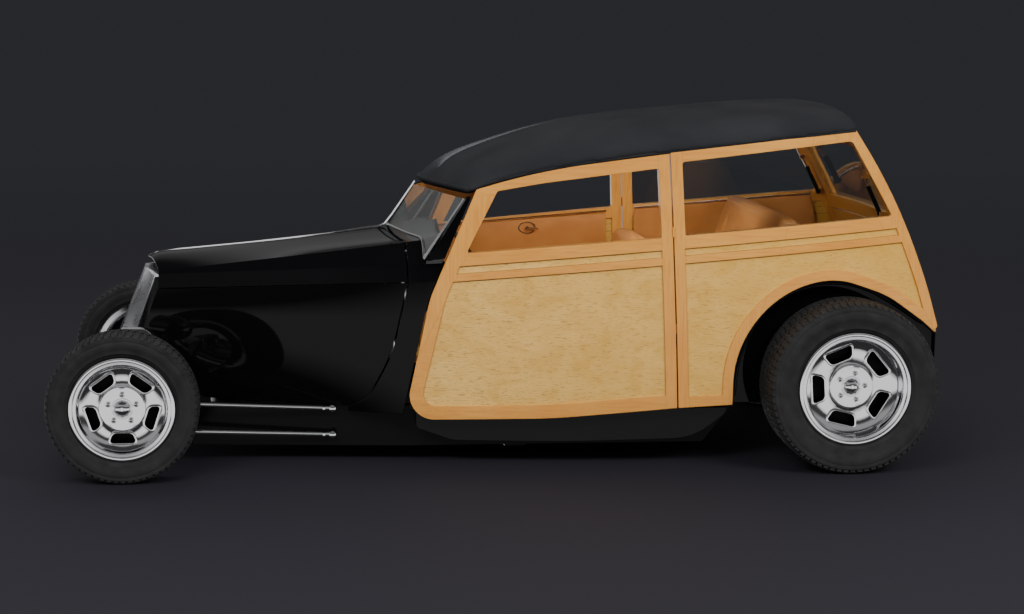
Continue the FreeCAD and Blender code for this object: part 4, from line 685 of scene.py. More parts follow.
def deckBoards(name):
    material, shader = newMaterial(name, wood["frameLight"], roughness=0.35, coat=0.6, coatRoughness=0.08)
    net = Net(material)
    x, y, z = net.axes()
    grain = net.noise(net.stretched((3, 60, 60)), 2.0, 5, 0.6, 0.4)
    colour = net.ramp(grain, [(0.3, wood["frameDark"]), (0.7, wood["frameLight"])])
    board = net.maths("FRACT", net.maths("MULTIPLY", net.maths("ADD", y, 1.0), 9.5))
    seam = net.maths("LESS_THAN", board, 0.035)
    colour = net.mix(net.maths("MULTIPLY", seam, 0.9), colour, (0.05, 0.03, 0.015))
    net.wire(colour, shader.inputs["Base Color"])
    net.wire(net.bump(seam, -0.6, 0.002), shader.inputs["Normal"])
    return material


def clearGlass(name, tint, roughness=0.0):
    material, shader = newMaterial(name, tint, roughness=roughness, through=1.0)
    net = Net(material)
    smear = net.noise(net.place, 3, 2, 0.5)
    net.wire(net.mix(net.ramp(smear, [(0.3, grey(0)), (0.8, grey(0.3))]), tint, [c * 0.94 for c in tint]),
             shader.inputs["Base Color"])
    return material


finishes = {
    "black_body": glossPaint("glossBlack", (0.0020, 0.0020, 0.0024), 0.05, 0.16),
    "black_chassis": glossPaint("chassisBlack", (0.0028, 0.0028, 0.0030), 0.15, 0.07, 0.002),
    "maple_frame": mapleFrame("mapleFrame", wood["frameLight"], wood["frameDark"], sideMask),
    "maple_panel": maplePanel("maplePanel", wood["panelLight"], wood["panelDark"], wood["fleck"]),
    "roof_cloth": roofCloth("roofCloth"),
    "tan_leather": leather("tanLeather", (0.60, 0.245, 0.058), (0.44, 0.160, 0.034)),
    "deck_wood": deckBoards("deckBoards"),
    "tyre_rubber": rubber("tyreRubber"),
    "polished_alloy": chromeMetal("polishedAlloy", (0.86, 0.865, 0.88), 0.085),
    "chrome_trim": chromeMetal("chromeTrim"),
    "window_glass": clearGlass("windowGlass", (0.93, 0.96, 0.95)),
    "engine_metal": satinMetal("castMetal", (0.33, 0.34, 0.35), 0.38, 260),
    "steel_dark": satinMetal("darkSteel", (0.10, 0.10, 0.105), 0.4, 300),
    "lamp_chrome": chromeMetal("lampChrome", (0.80, 0.81, 0.82), 0.04),
    "wheel_leather": leather("wheelLeather", (0.05, 0.03, 0.02), (0.025, 0.015, 0.010), 0.38),
}
gateWood = mapleFrame("gateMaple", wood["frameLight"], wood["frameDark"], gateMask)
innerWood = mapleFrame("innerMaple", wood["innerLight"], wood["innerDark"], lambda net: (0.0, 0.0))
tintedGlass = clearGlass("tintedGlass", (0.62, 0.66, 0.64))
lensGlass = clearGlass("lensGlass", (0.97, 0.98, 0.98))
redLens = clearGlass("redLens", (0.60, 0.02, 0.02), 0.05)
drumIron = satinMetal("drumIron", (0.018, 0.018, 0.019), 0.55, 300)
grilleSilver = satinMetal("grilleSilver", (0.80, 0.81, 0.83), 0.27, edge=0.0003)
print("materials made")

for part in frame["record"]["subparts"]:
    dress(nodes[part["node"]], finishes[part["material_slot"]])
for name in ("liftgate", "tailgate", "rear_frame"):
    dress(nodes[name], gateWood)
dress(nodes["roof_bows"], innerWood)

makeCamera()
lightStudio()


# The body's own curves, for smooth shading and for trims

curves = {
    "widestX": 2.5, "halfWidth": 0.690, "frontPlan": 8.7, "rearPlan": 5.0, "barrel": 5.4, "barrelZ": 0.600,
    "hoodFront": 0.112, "cowlGap": 1.140,
}


def planHalf(x):
    radius = curves["frontPlan"] if x < curves["widestX"] else curves["rearPlan"]
    return curves["halfWidth"] - (x - curves["widestX"]) ** 2 / (2 * radius)


def sideY(x, z):
    return planHalf(x) - (z - curves["barrelZ"]) ** 2 / (2 * curves["barrel"])


def onSide(x, z, depth, side=-1):
    # a place on the body side: x from the front axle, depth inside the outer face
    return Vector((frontAxleX + x, side * (sideY(x, z) - depth), z))


def sideNormal(place, faceNormal, faceCentre):
    x = place.x - frontAxleX
    radius = curves["frontPlan"] if x < curves["widestX"] else curves["rearPlan"]
    side = -1 if faceCentre.y < 0 else 1
    rise = (place.z - curves["barrelZ"]) / curves["barrel"]
    outward = Vector(((x - curves["widestX"]) / radius, side, rise))
    outward.normalize()
    match = outward.dot(faceNormal)
    if match > 0.975:
        return outward
    if match < -0.975:
        return -outward
    return faceNormal


def hoodShare(x):
    return (x - curves["hoodFront"]) / (curves["cowlGap"] - curves["hoodFront"])


def crownZ(x):
    if x < 0.200:
        return 0.838 - 0.125 * (0.200 - x) - 6.0 * max(0, 0.110 - x) ** 2
    return 0.838 + 0.085 * (x - 0.200) + 0.028 * (x - 0.200) ** 2


def frontSection(x, depth=0.0):
    # left half of the hood's or cowl's section: crown, shoulder, belt and side
    t = hoodShare(x)
    belt = 0.222 + 0.341 * (x - curves["hoodFront"]) if x < 1.190 else planHalf(x) - 0.001
    return [
        (0.0, crownZ(x) - depth),
        (0.45 * belt - 0.3 * depth, crownZ(x) - 0.014 - 0.022 * t - depth),
        (belt * (0.88 - 0.18 * t) - 0.5 * depth, 0.768 + 0.143 * t - depth),
        (belt * 0.93 - 0.8 * depth, 0.757 + 0.075 * t - 0.6 * depth),
        (belt - depth, 0.697 + 0.067 * t),
        (belt + 0.008 - depth, 0.480),
        (belt - 0.005 - 0.060 * (1 - t) - depth, 0.215),
    ]


def arcPoint(first, middle, last, share):
    # a quadratic through three points, close to their arc
    keep, turn, reach = (1 - share) * (1 - 2 * share), 4 * share * (1 - share), share * (2 * share - 1)
    return tuple(keep * a + turn * b + reach * c for a, b, c in zip(first, middle, last))


def skinPoint(x, part, share):
    rows = frontSection(x)
    if part == 0:
        y, z = arcPoint(rows[0], rows[1], rows[2], share)
    elif part == 3:
        y, z = arcPoint(rows[4], rows[5], rows[6], share)
    else:
        low, high = (rows[2], rows[3]) if part == 1 else (rows[3], rows[4])
        y, z = [a + (b - a) * share for a, b in zip(low, high)]
    return Vector((x, -y, z))


def nearestShare(x, part, y, z):
    low, high = 0.0, 1.0
    for step in range(18):
        first, second = low + (high - low) / 3, high - (high - low) / 3
        a, b = skinPoint(x, part, first), skinPoint(x, part, second)
        if (a.y - y) ** 2 + (a.z - z) ** 2 < (b.y - y) ** 2 + (b.z - z) ** 2:
            high = second
        else:
            low = first
    return (low + high) / 2


def skinNormalAt(x, part, share):
    reach = 0.012
    ahead = skinPoint(x + reach, part, share) - skinPoint(x - reach, part, share)
    across = skinPoint(x, part, min(1, share + 0.02)) - skinPoint(x, part, max(0, share - 0.02))
    outward = across.cross(ahead)
    outward.normalize()
    return outward if outward.z - outward.y > 0 else -outward


def frontNormal(place, faceNormal, faceCentre):
    side = 1 if faceCentre.y > 0 else -1
    x = faceCentre.x - frontAxleX
    level = Vector((faceNormal.x, -side * faceNormal.y, faceNormal.z))
    best, chosen, sense = 9.0, None, 1
    for part in range(4):
        share = nearestShare(x, part, -abs(faceCentre.y), faceCentre.z)
        gap = (skinPoint(x, part, share) - Vector((x, -abs(faceCentre.y), faceCentre.z))).length
        match = skinNormalAt(x, part, share).dot(level)
        if abs(match) > 0.93 and gap < best:
            best, chosen, sense = gap, part, 1 if match > 0 else -1
    if chosen is None or best > 0.02:
        return faceNormal
    x = place.x - frontAxleX
    share = nearestShare(x, chosen, -abs(place.y), place.z)
    found = skinNormalAt(x, chosen, share) * sense
    return Vector((found.x, -side * found.y, found.z))


def shadeBy(piece, normalAt):
    mesh = piece.data
    chosen = [Vector((0, 0, 1))] * len(mesh.loops)
    for face in mesh.polygons:
        for loop in face.loop_indices:
            place = mesh.vertices[mesh.loops[loop].vertex_index].co
            chosen[loop] = normalAt(place, face.normal, face.center).normalized()
    mesh.normals_split_custom_set(chosen)


# Merged skins for the frame's curved panels

smoothSkins = {
    "bonnetLeft": ("hood_left", "black_body", "hood_lid_left", frontNormal),
    "bonnetRight": ("hood_right", "black_body", "hood_lid_right", frontNormal),
    "bonnetSides": ("hood_sides", "black_body", "car", frontNormal),
    "scuttle": ("cowl", "black_body", "car", frontNormal),
    "doorFrameLeft": ("door_frame_left", "maple_frame", "door_left", sideNormal),
    "doorFrameRight": ("door_frame_right", "maple_frame", "door_right", sideNormal),
    "doorPanelLeft": ("door_panel_left", "maple_panel", "door_left", sideNormal),
    "doorPanelRight": ("door_panel_right", "maple_panel", "door_right", sideNormal),
    "quarterFrames": ("quarter_frames", "maple_frame", "car", sideNormal),
    "quarterPanels": ("quarter_panels", "maple_panel", "car", sideNormal),
}


def makeSmoothSkins():
    for name, (nodeName, slotName, body, normalAt) in smoothSkins.items():
        skin = mergedCopy(name, nodeName)
        shadeBy(skin, normalAt)
        dress(skin, finishes[slotName])
        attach(skin, body)
        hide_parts(nodeName)
    print("skins made")


makeSmoothSkins()


def makeGrille():
    bars = mergedCopy("grilleBars", "grille")
    finishPiece(bars, "car", "chrome_trim", 30, grilleSilver)
    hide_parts("grille")
    print("grille made")


makeGrille()

linkEnds = {"x": -0.7185, "y": 0.4658, "z": (0.228, 0.118)}


def makeLinkEnds():
    # the hexagon nuts and bolt heads at the rear pivots of the front links
    parts = []
    for side in (-1, 1):
        for z in linkEnds["z"]:
            at = Vector((linkEnds["x"], side * linkEnds["y"], z))
            outward = Vector((0, side * 0.001, 0))
            parts.append(rodPiece("linkBolt", at + outward * 10, at + outward * 21, 0.0115, 6, 0.0012))
            parts.append(rodPiece("linkWasher", at + outward * 10, at + outward * 14.5, 0.0135, 24, 0.001))
            ahead = Vector((-0.010, 0, 0))
            parts.append(rodPiece("linkLock", at + ahead * 3, at + ahead * 4, 0.0130, 6, 0.0012))
    finishPiece(joinPieces("linkNuts", parts), "car", "chrome_trim", 30)
    print("link ends made")


makeLinkEnds()


# Tyres

wheelSets = {
    "front": {"axleX": frontAxleX, "y": -0.7615, "radius": 0.301, "width": 0.185, "bead": 0.1905,
              "lip": 0.207, "rimHalf": 0.082, "pitches": 66, "groove": 0.007, "dish": 0.034, "turned": 0.0,
              "windowInner": 0.0985, "windowOuter": 0.1395, "windowWidth": 0.097},
    "rear": {"axleX": rearAxleX, "y": -0.7505, "radius": 0.356, "width": 0.255, "bead": 0.216,
             "lip": 0.233, "rimHalf": 0.118, "pitches": 74, "groove": 0.008, "dish": 0.072,
             "turned": math.radians(-86),
             "windowInner": 0.1115, "windowOuter": 0.1620, "windowWidth": 0.114},
}
treadRows = [
    # kind, its two edges as shares of the width, start and length as shares of the pitch, drop
    ("shoulderBlock", 0.315, 0.472, 0.0, 0.62, 0.0098),
    ("shoulderTie", 0.30, 0.40, 0.42, 0.30, 0.0036),
    ("midBlock", 0.135, 0.275, 0.30, 0.66, 0.0008),
    ("midLug", 0.155, 0.245, 0.78, 0.22, 0.0004),
    ("centreBlock", 0.012, 0.108, 0.10, 0.74, 0),
]


def treadBlock(name, t, low, high, share, length, drop):
    # one block between two places across the tread, its outer edge let down to follow the shoulder
    pitch = 2 * math.pi * t["radius"] / t["pitches"]
    depth = t["groove"] + 0.003
    top = 2 * t["radius"] - 0.0004
    centre = Vector((t["axleX"] + share * pitch, t["y"] + (low + high) / 2, top - depth / 2))
    block = boxPiece(name, centre, (pitch * length, abs(high - low), depth))
    outside = max(abs(low), abs(high))
    if drop:
        editVertices(block, lambda co: abs(co.y - t["y"]) > outside - 0.001)
        bpy.ops.transform.translate(value=(0, 0, -drop))
        leaveEdit()
    editFaces(block, lambda co, normal: normal.z > 0.5)
    bpy.ops.mesh.inset(thickness=0.0011, depth=0.0)
    bpy.ops.transform.translate(value=(0, 0, 0.0003))
    leaveEdit()
    return block


def makeTyre(name, t):
    radius, half, lip = t["radius"], t["width"] / 2, t["lip"]
    bead, rimHalf, floor = t["bead"], t["rimHalf"], t["radius"] - t["groove"]
    wall = [
        (rimHalf - 0.0225, bead + 0.0006), (rimHalf - 0.0145, bead + 0.0006),
        (rimHalf - 0.0112, lip + 0.0018), (rimHalf - 0.005, lip + 0.0062),
        (rimHalf - 0.0035, lip + 0.0105), (rimHalf - 0.0005, lip + 0.0135),
    ]
    if half - 0.004 > rimHalf:
        wall.append((half - 0.0060, lip + 0.018))
    wall += [
        (half - 0.0042, 0.52 * radius + 0.48 * bead - 0.006),
        (half - 0.0030, 0.52 * radius + 0.48 * bead - 0.004),
        (half - 0.0006, 0.62 * radius + 0.38 * bead), (half - 0.0012, 0.70 * radius + 0.30 * bead),
        (half - 0.0032, 0.745 * radius + 0.255 * bead), (half - 0.0022, 0.765 * radius + 0.235 * bead),
        (half * 0.965, 0.85 * radius + 0.15 * bead), (half * 0.93, radius - 0.017),
        (half * 0.885, radius - 0.0115), (half * 0.80, floor - 0.001),
        (half * 0.4, floor), (0, floor + 0.0003),
    ]
    outer = wall + [(-a, r) for a, r in reversed(wall[:-1])]
    inside = [(-(rimHalf - 0.0325), bead + 0.0006), (-(half - 0.016), 0.7 * bead + 0.3 * radius),
              (-(half * 0.68), radius - 0.018), (half * 0.68, radius - 0.018),
              (half - 0.016, 0.7 * bead + 0.3 * radius), (rimHalf - 0.0325, bead + 0.0006)]
    centre = (t["axleX"], t["y"], radius)
    carcass = turnedPiece(name, outer + inside + outer[:1], centre, (0, -1, 0), 112)
    w = t["width"]
    rows = []
    for side in (-1, 1):
        shift = 0.25 if side > 0 else 0.0
        for kind, near, far, start, length, drop in treadRows:
            rows.append(treadBlock(kind, t, side * near * w, side * far * w, shift + start, length, drop))
    # the middle and centre blocks stand aslant
    for block in rows[2::5] + rows[4::5]:
        editAll(block)
        middle = sum((vertex.co for vertex in block.data.vertices), Vector()) / len(block.data.vertices)
        bpy.ops.transform.rotate(value=math.radians(18), orient_axis="Z", center_override=middle)
        leaveEdit()
    tread = joinPieces(name + "Tread", rows)
    editAll(tread)
    count = t["pitches"]
    bpy.ops.mesh.spin(steps=count - 1, dupli=True, angle=2 * math.pi * (count - 1) / count,
                      center=centre, axis=(0, -1, 0))
    leaveEdit()
    return joinPieces(name, [carcass, tread])


def makeTyres():
    for end, t in wheelSets.items():
        left = makeTyre(end + "TyreLeft", t)
        right = otherSide(left, end + "TyreRight", t["axleX"])
        for piece, side in ((left, "left"), (right, "right")):
            finishPiece(piece, "road_wheel_%s_%s" % (end, side), "tyre_rubber", 32)
            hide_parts("tyre_%s_%s" % (end, side))
    print("tyres made")


makeTyres()


# Wheels

wheelParts = {
    "windows": 5, "studCircle": 0.05715, "nutRecess": 0.0115, "nut": 0.0088, "cap": 0.033,
    "dome": [(0.006, 0.0), (0.0105, 0.0), (0.0098, 0.003), (0.008, 0.0055), (0.0055, 0.0066)],
}


def turnedPlace(w, angle, radius, along):
    # angle 0 points straight down, along runs outboard from the wheel's middle
    x, z = w["axleX"] + radius * math.sin(angle), w["radius"] - radius * math.cos(angle)
    return Vector((x, w["y"] - along, z))


def makeWheel(name, w):
    lip, bead, half = w["lip"], w["bead"], w["rimHalf"]
    face = half - w["dish"]
    centre = (w["axleX"], w["y"], w["radius"])
    profile = [
        (face + 0.0045, 0.0), (face + 0.0045, 0.086), (face + 0.0025, 0.0905), (face - 0.003, 0.0925),
        (face - 0.006, 0.100), (face - 0.0075, 0.55 * lip), (face - 0.0068, 0.66 * lip),
        (face - 0.003, 0.74 * lip),
        (face + 0.003, lip - 0.046), (face + 0.008, lip - 0.040), (half - 0.020, lip - 0.0345),
        (half - 0.0115, lip - 0.0315), (half - 0.0075, lip - 0.0275), (half - 0.0065, lip - 0.0165),
        (half - 0.0035, lip - 0.0138), (half - 0.0005, lip - 0.0125), (half - 0.0001, lip - 0.0085),
        (half - 0.0004, lip - 0.004), (half - 0.0018, lip - 0.0010), (half - 0.0045, lip + 0.0008),
        (half - 0.011, lip + 0.0009), (half - 0.0138, bead + 0.0006), (half - 0.030, bead - 0.001),
        (half - 0.046, bead - 0.017), (-half + 0.044, bead - 0.017), (-half + 0.034, bead - 0.0005),
        (-half + 0.014, bead), (-half + 0.011, lip + 0.0008), (-half + 0.001, lip + 0.0008),
        (-half + 0.006, lip - 0.004), (-half + 0.009, bead - 0.009), (-half + 0.032, bead - 0.009),
        (-half + 0.042, bead - 0.026), (face - 0.027, bead - 0.026), (face - 0.022, bead - 0.032),
        (face - 0.018, 0.100), (face - 0.030, 0.060), (face - 0.050, 0.046), (face - 0.050, 0.0212),
        (face - 0.004, 0.0212), (face - 0.004, 0.0),
    ]
    wheel = turnedPiece(name, profile, centre, (0, -1, 0), 120)
    cutters, rims = [], []
    count = wheelParts["windows"]
    inner, outer = w["windowInner"], w["windowOuter"]
    for i in range(count):
        angle = w["turned"] + 2 * math.pi * i / count
        middle = (inner + outer) / 2
        window = boxPiece("windowCutter", (0, 0, 0), (w["windowWidth"], 0.12, outer - inner))
        editVertices(window, lambda co: co.z < 0)
        bpy.ops.transform.resize(value=(1.10, 1, 1), center_override=(0, 0, 0))
        leaveEdit()
        editVertices(window, lambda co: co.z > 0)
        bpy.ops.transform.resize(value=(0.80, 1, 1), center_override=(0, 0, 0))
        leaveEdit()
        roundEdges(window, 0.0165, 6, 40)
        rim = copyPiece(window, "windowRim")
        grown = (1 + 0.015 / w["windowWidth"], 0.0105 / 0.12, 1 + 0.013 / (outer - inner), 1)
        rim.data.transform(Matrix.Diagonal(grown))
        roundEdges(rim, 0.0028)
        for shape, lift in ((window, 0.0), (rim, 0.004)):
            shape.data.transform(Matrix.Translation((0, lift, -middle)))
            shape.data.transform(Matrix.Rotation(-angle, 4, "Y"))
            shape.data.transform(Matrix.Translation((w["axleX"], w["y"] - face, w["radius"])))
        cutters.append(window)
        rims.append(rim)
    for i in range(count):
        angle = w["turned"] + 2 * math.pi * (i + 0.5) / count
        place = turnedPlace(w, angle, wheelParts["studCircle"], face)
        end = place + Vector((0, -0.03, 0))
        cutters.append(rodPiece("nutCutter", place + Vector((0, 0.006, 0)), end, wheelParts["nutRecess"], 28))
    cutter = joinPieces("wheelCutter", cutters)
    rims = joinPieces("windowRims", rims)
    modify(wheel, "BOOLEAN", operation="UNION", object=rims, solver="EXACT")
    modify(wheel, "BOOLEAN", operation="DIFFERENCE", object=cutter, solver="EXACT")
    bpy.data.objects.remove(cutter)
    bpy.data.objects.remove(rims)
    roundEdges(wheel, 0.0022, 2, 38)
    hardware = []
    for i in range(count):
        angle = w["turned"] + 2 * math.pi * (i + 0.5) / count
        place = turnedPlace(w, angle, wheelParts["studCircle"], face)
        nut = rodPiece("wheelNut", place + Vector((0, 0.006, 0)), place + Vector((0, -0.0065, 0)),
                       wheelParts["nut"], 6, 0.0012)
        dome = turnedPiece("nutDome", wheelParts["dome"], place, (0, -1, 0), 20)
        hardware += [nut, dome]
    cap = wheelParts["cap"]
    capProfile = [(face + 0.003, cap + 0.001), (face + 0.008, cap), (face + 0.014, cap - 0.004),
                  (face + 0.020, cap - 0.013), (face + 0.0225, cap - 0.019), (face + 0.0232, 0.0)]
    facets = turnedPiece("capFacets", capProfile, centre, (0, -1, 0), 10)
    button = turnedPiece("capButton", [(face + 0.0225, 0.009), (face + 0.0238, 0.0075), (face + 0.0239, 0.0)],
                         centre, (0, -1, 0), 24)
    ring = turnedPiece("capRing", [(face + 0.004, 0.0415), (face + 0.0065, 0.0405), (face + 0.0065, 0.036),
                                   (face + 0.004, 0.035)], centre, (0, -1, 0), 60)
    stemAt = turnedPlace(w, w["turned"] + math.pi / count + 0.9, lip - 0.028, half - 0.030)
    stem = rodPiece("valveStem", stemAt, stemAt + Vector((0, -0.022, 0)), 0.0036, 14, 0.0008)
    return joinPieces(name, [wheel] + hardware + [facets, button, ring, stem])


def makeDrum(name, w):
    # the dark brake drum that shows through the windows
    reach = w["bead"] - 0.030
    profile = [(-0.004, 0.080), (-0.004, reach - 0.020), (-0.007, reach - 0.006), (-0.011, reach),
               (-0.020, reach), (-0.020, reach - 0.004), (-0.012, reach - 0.006), (-0.010, 0.080),
               (-0.004, 0.080)]
    return turnedPiece(name, profile, (w["axleX"], w["y"], w["radius"]), (0, -1, 0), 72)


def makeWheels():
    for end, w in wheelSets.items():
        left = makeWheel(end + "WheelLeft", w)
        right = otherSide(left, end + "WheelRight", w["axleX"])
        leftDrum = makeDrum(end + "DrumLeft", w)
        rightDrum = otherSide(leftDrum, end + "DrumRight", w["axleX"])
        for piece, side in ((leftDrum, "left"), (rightDrum, "right")):
            finishPiece(piece, "road_wheel_%s_%s" % (end, side), "steel_dark", 28, drumIron)
        for piece, side in ((left, "left"), (right, "right")):
            finishPiece(piece, "road_wheel_%s_%s" % (end, side), "polished_alloy", 28)
            modify(piece, "WEIGHTED_NORMAL", weight=60, keep_sharp=True)
            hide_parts("wheel_%s_%s" % (end, side))
    print("wheels made")


makeWheels()


# Padded roof

roofTop = {
    "voxel": 0.009, "rounds": 7, "swell": 0.0028, "welt": 0.0078, "roll": 0.0105,
    # rim: x from the front axle and height
    "rim": [(1.389, 1.144), (1.420, 1.157), (1.490, 1.181), (1.640, 1.218), (1.833, 1.254), (2.140, 1.299),
            (2.450, 1.331), (2.740, 1.3635), (2.890, 1.3805), (2.955, 1.3880), (2.985, 1.3905)],
}


def makeRoof():
    # the padded top: its edges are rolled over by the remesh and the smoothing
    top = mergedCopy("paddedTop", "roof")
    modify(top, "REMESH", mode="VOXEL", voxel_size=roofTop["voxel"], use_smooth_shade=True)
    modify(top, "SMOOTH", factor=0.5, iterations=roofTop["rounds"])
    modify(top, "DISPLACE", strength=roofTop["swell"], mid_level=0.0)
    places = [onSide(x, z, 0.006, -1) for x, z in roofTop["rim"]]
    left = tubePiece("roofWeltLeft", places, roofTop["welt"])
    right = otherSide(left, "roofWeltRight")
    half = abs(places[0].y)
    roll = []
    for i in range(-10, 11):
        share = math.sin(i / 10 * math.pi / 2)
        rise = 0.007 * (1 - abs(share) ** 1.6)
        bow = 0.170 * (1 - abs(share) ** 1.3)
        roll.append(Vector((places[0].x - bow, half * share, places[0].z + rise)))
    front = tubePiece("roofRoll", roll, roofTop["roll"])
    top = joinPieces("paddedTop", [top, left, right, front])
    dress(top, finishes["roof_cloth"])
    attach(top, "car")
    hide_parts("roof")
    print("roof made", len(top.data.polygons))


makeRoof()

# Bright trim round the windscreen, lips over the rear wheels

trim = {
    "screenFoot": 1.090, "screenFootZ": 0.952, "screenTube": 0.0048, "postTube": 0.0075,
    "screenBase": [(0.010, 0.946), (0.130, 0.938), (0.260, 0.931), (0.350, 0.930), (0.408, 0.928),
                   (0.470, 0.900), (0.545, 0.860)],
    "screenSide": [(0.5465, 0.858), (0.5480, 0.980), (0.5500, 1.104)],
    "archLip": [(3.296, 0.588), (3.133, 0.704), (2.910, 0.781), (2.656, 0.727), (2.490, 0.478),
                (2.490, 0.300)],
}


def onScreen(across, z, lift, side):
    # a place on the sloping pane, lifted off its outer face
    x = trim["screenFoot"] + (z - trim["screenFootZ"]) * 2 / 3 + across / 3
    outward = Vector((-1.0, side / 3, 2 / 3)).normalized()
    return Vector((frontAxleX + x, side * across, z)) + outward * lift


def makeScreenTrim():
    parts = []
    for side in (-1, 1):
        base = [onScreen(y, z, 0.003, side) for y, z in trim["screenBase"]]
        post = [onScreen(y, z, 0.002, side) for y, z in trim["screenSide"]]
        parts.append(tubePiece("screenBase", base, trim["screenTube"]))
        parts.append(tubePiece("screenPost", post, trim["postTube"]))
    finishPiece(joinPieces("screenTrim", parts), "car", "chrome_trim", 40)


def makeArchLips():
    lips = []
    for side in (-1, 1):
        for depth, radius in ((0.012, 0.0055), (0.030, 0.004)):
            places = [onSide(x, z, depth, side) for x, z in trim["archLip"]]
            lips.append(tubePiece("archLip", places, radius))
    finishPiece(joinPieces("archLips", lips), "car", "black_body", 40)


makeScreenTrim()
makeArchLips()
print("trim made")


# Cabin trim: linings, sill strips, armrests and handles

cabin = {
    "sheet": 0.006, "depth": 0.0492,
    "doorLining": [(1.205, 0.340), (2.165, 0.320), (2.140, 0.928), (1.352, 0.872)],
    "doorPad": [(1.300, 0.430), (2.110, 0.420), (2.105, 0.690), (1.345, 0.670)],
    "quarterLining": [(2.275, 0.790), (3.150, 0.835), (3.105, 1.018), (2.275, 0.946)],
    "doorStrip": [(1.352, 0.880), (1.70, 0.905), (2.142, 0.9385)],
    "quarterStrip": [(2.275, 0.953), (2.70, 0.988), (3.105, 1.024)],
    "armrest": (1.80, 0.735), "handle": (1.769, 0.862),
}


def sillStrip(name, side):
    return tubePiece(name, [onSide(x, z, cabin["depth"] + 0.001, side) for x, z in cabin[name]], 0.0045)


def makeLinings():
    for side, label in ((-1, "left"), (1, "right")):
        lining = sidePlate("doorLining", cabin["doorLining"], cabin["depth"], cabin["sheet"], side, 0.002)
        inner = sidePlate("doorPad", cabin["doorPad"], cabin["depth"] + 0.005, 0.010, side, 0.004)
        x, z = cabin["armrest"]
        rest = boxPiece("armrest", onSide(x, z, cabin["depth"] + 0.026, side), (0.56, 0.048, 0.052), 0.017, 4)
        cover = joinPieces("doorLining" + label.title(), [lining, inner, rest])
        finishPiece(cover, "door_" + label, "tan_leather", 40)
        strip = sillStrip("doorStrip", side)
        x, z = cabin["handle"]
        place = onSide(x, z, cabin["depth"] + 0.005, side)
        deselectAll()
        bpy.ops.mesh.primitive_torus_add(location=place, rotation=(math.pi / 2, 0, 0), major_radius=0.026,
                                         minor_radius=0.0035, major_segments=40, minor_segments=10)
        ring = bpy.context.object
        applyPlace(ring)
        editAll(ring)
        bpy.ops.transform.resize(value=(1.45, 1, 1), center_override=place)
        leaveEdit()
        inward = Vector((0, -side * 0.012, 0))
        tip = place + inward + Vector((0.052, 0, -0.004))
        lever = rodPiece("lever", place + inward, tip, 0.0045, 14, 0.002)
        boss = rodPiece("leverBoss", place - inward * 0.3, place + inward * 1.3, 0.010, 20, 0.002)
        handle = joinPieces("doorHandle" + label.title(), [strip, ring, lever, boss])
        finishPiece(handle, "door_" + label, "chrome_trim", 40)
    quarterParts, strips = [], []
    for side in (-1, 1):
        quarterParts.append(sidePlate("quarterLining", cabin["quarterLining"], cabin["depth"], cabin["sheet"],
                                      side, 0.002))
        strips.append(sillStrip("quarterStrip", side))
    finishPiece(joinPieces("quarterLinings", quarterParts), "car", "tan_leather", 40)
    finishPiece(joinPieces("quarterStrips", strips), "car", "chrome_trim", 40)
    print("linings made")


makeLinings()


# Padded seats

seats = {
    # length, width, height, place of the front low corner from the front axle, lean, seams across
    "frontCushion": ((0.456, 1.070, 0.156), (1.566, 0.329), 0, 5),
    "frontBack": ((0.107, 1.070, 0.548), (2.027, 0.354), 15, 5),
    "rearCushion": ((0.303, 1.070, 0.102), (2.240, 0.564), 0, 5),
    "rearBack": ((0.107, 1.070, 0.458), (2.545, 0.604), 20, 5),
}
padding = {
    "frames": 20, "voxel": 0.0085, "seam": 0.010,
    "cloth": {"quality": 5, "mass": 0.25, "tension_stiffness": 18, "compression_stiffness": 12,
              "shear_stiffness": 6, "bending_stiffness": 0.6, "use_pressure": True,
              "uniform_pressure_force": 4.0, "vertex_group_mass": "seams"},
}


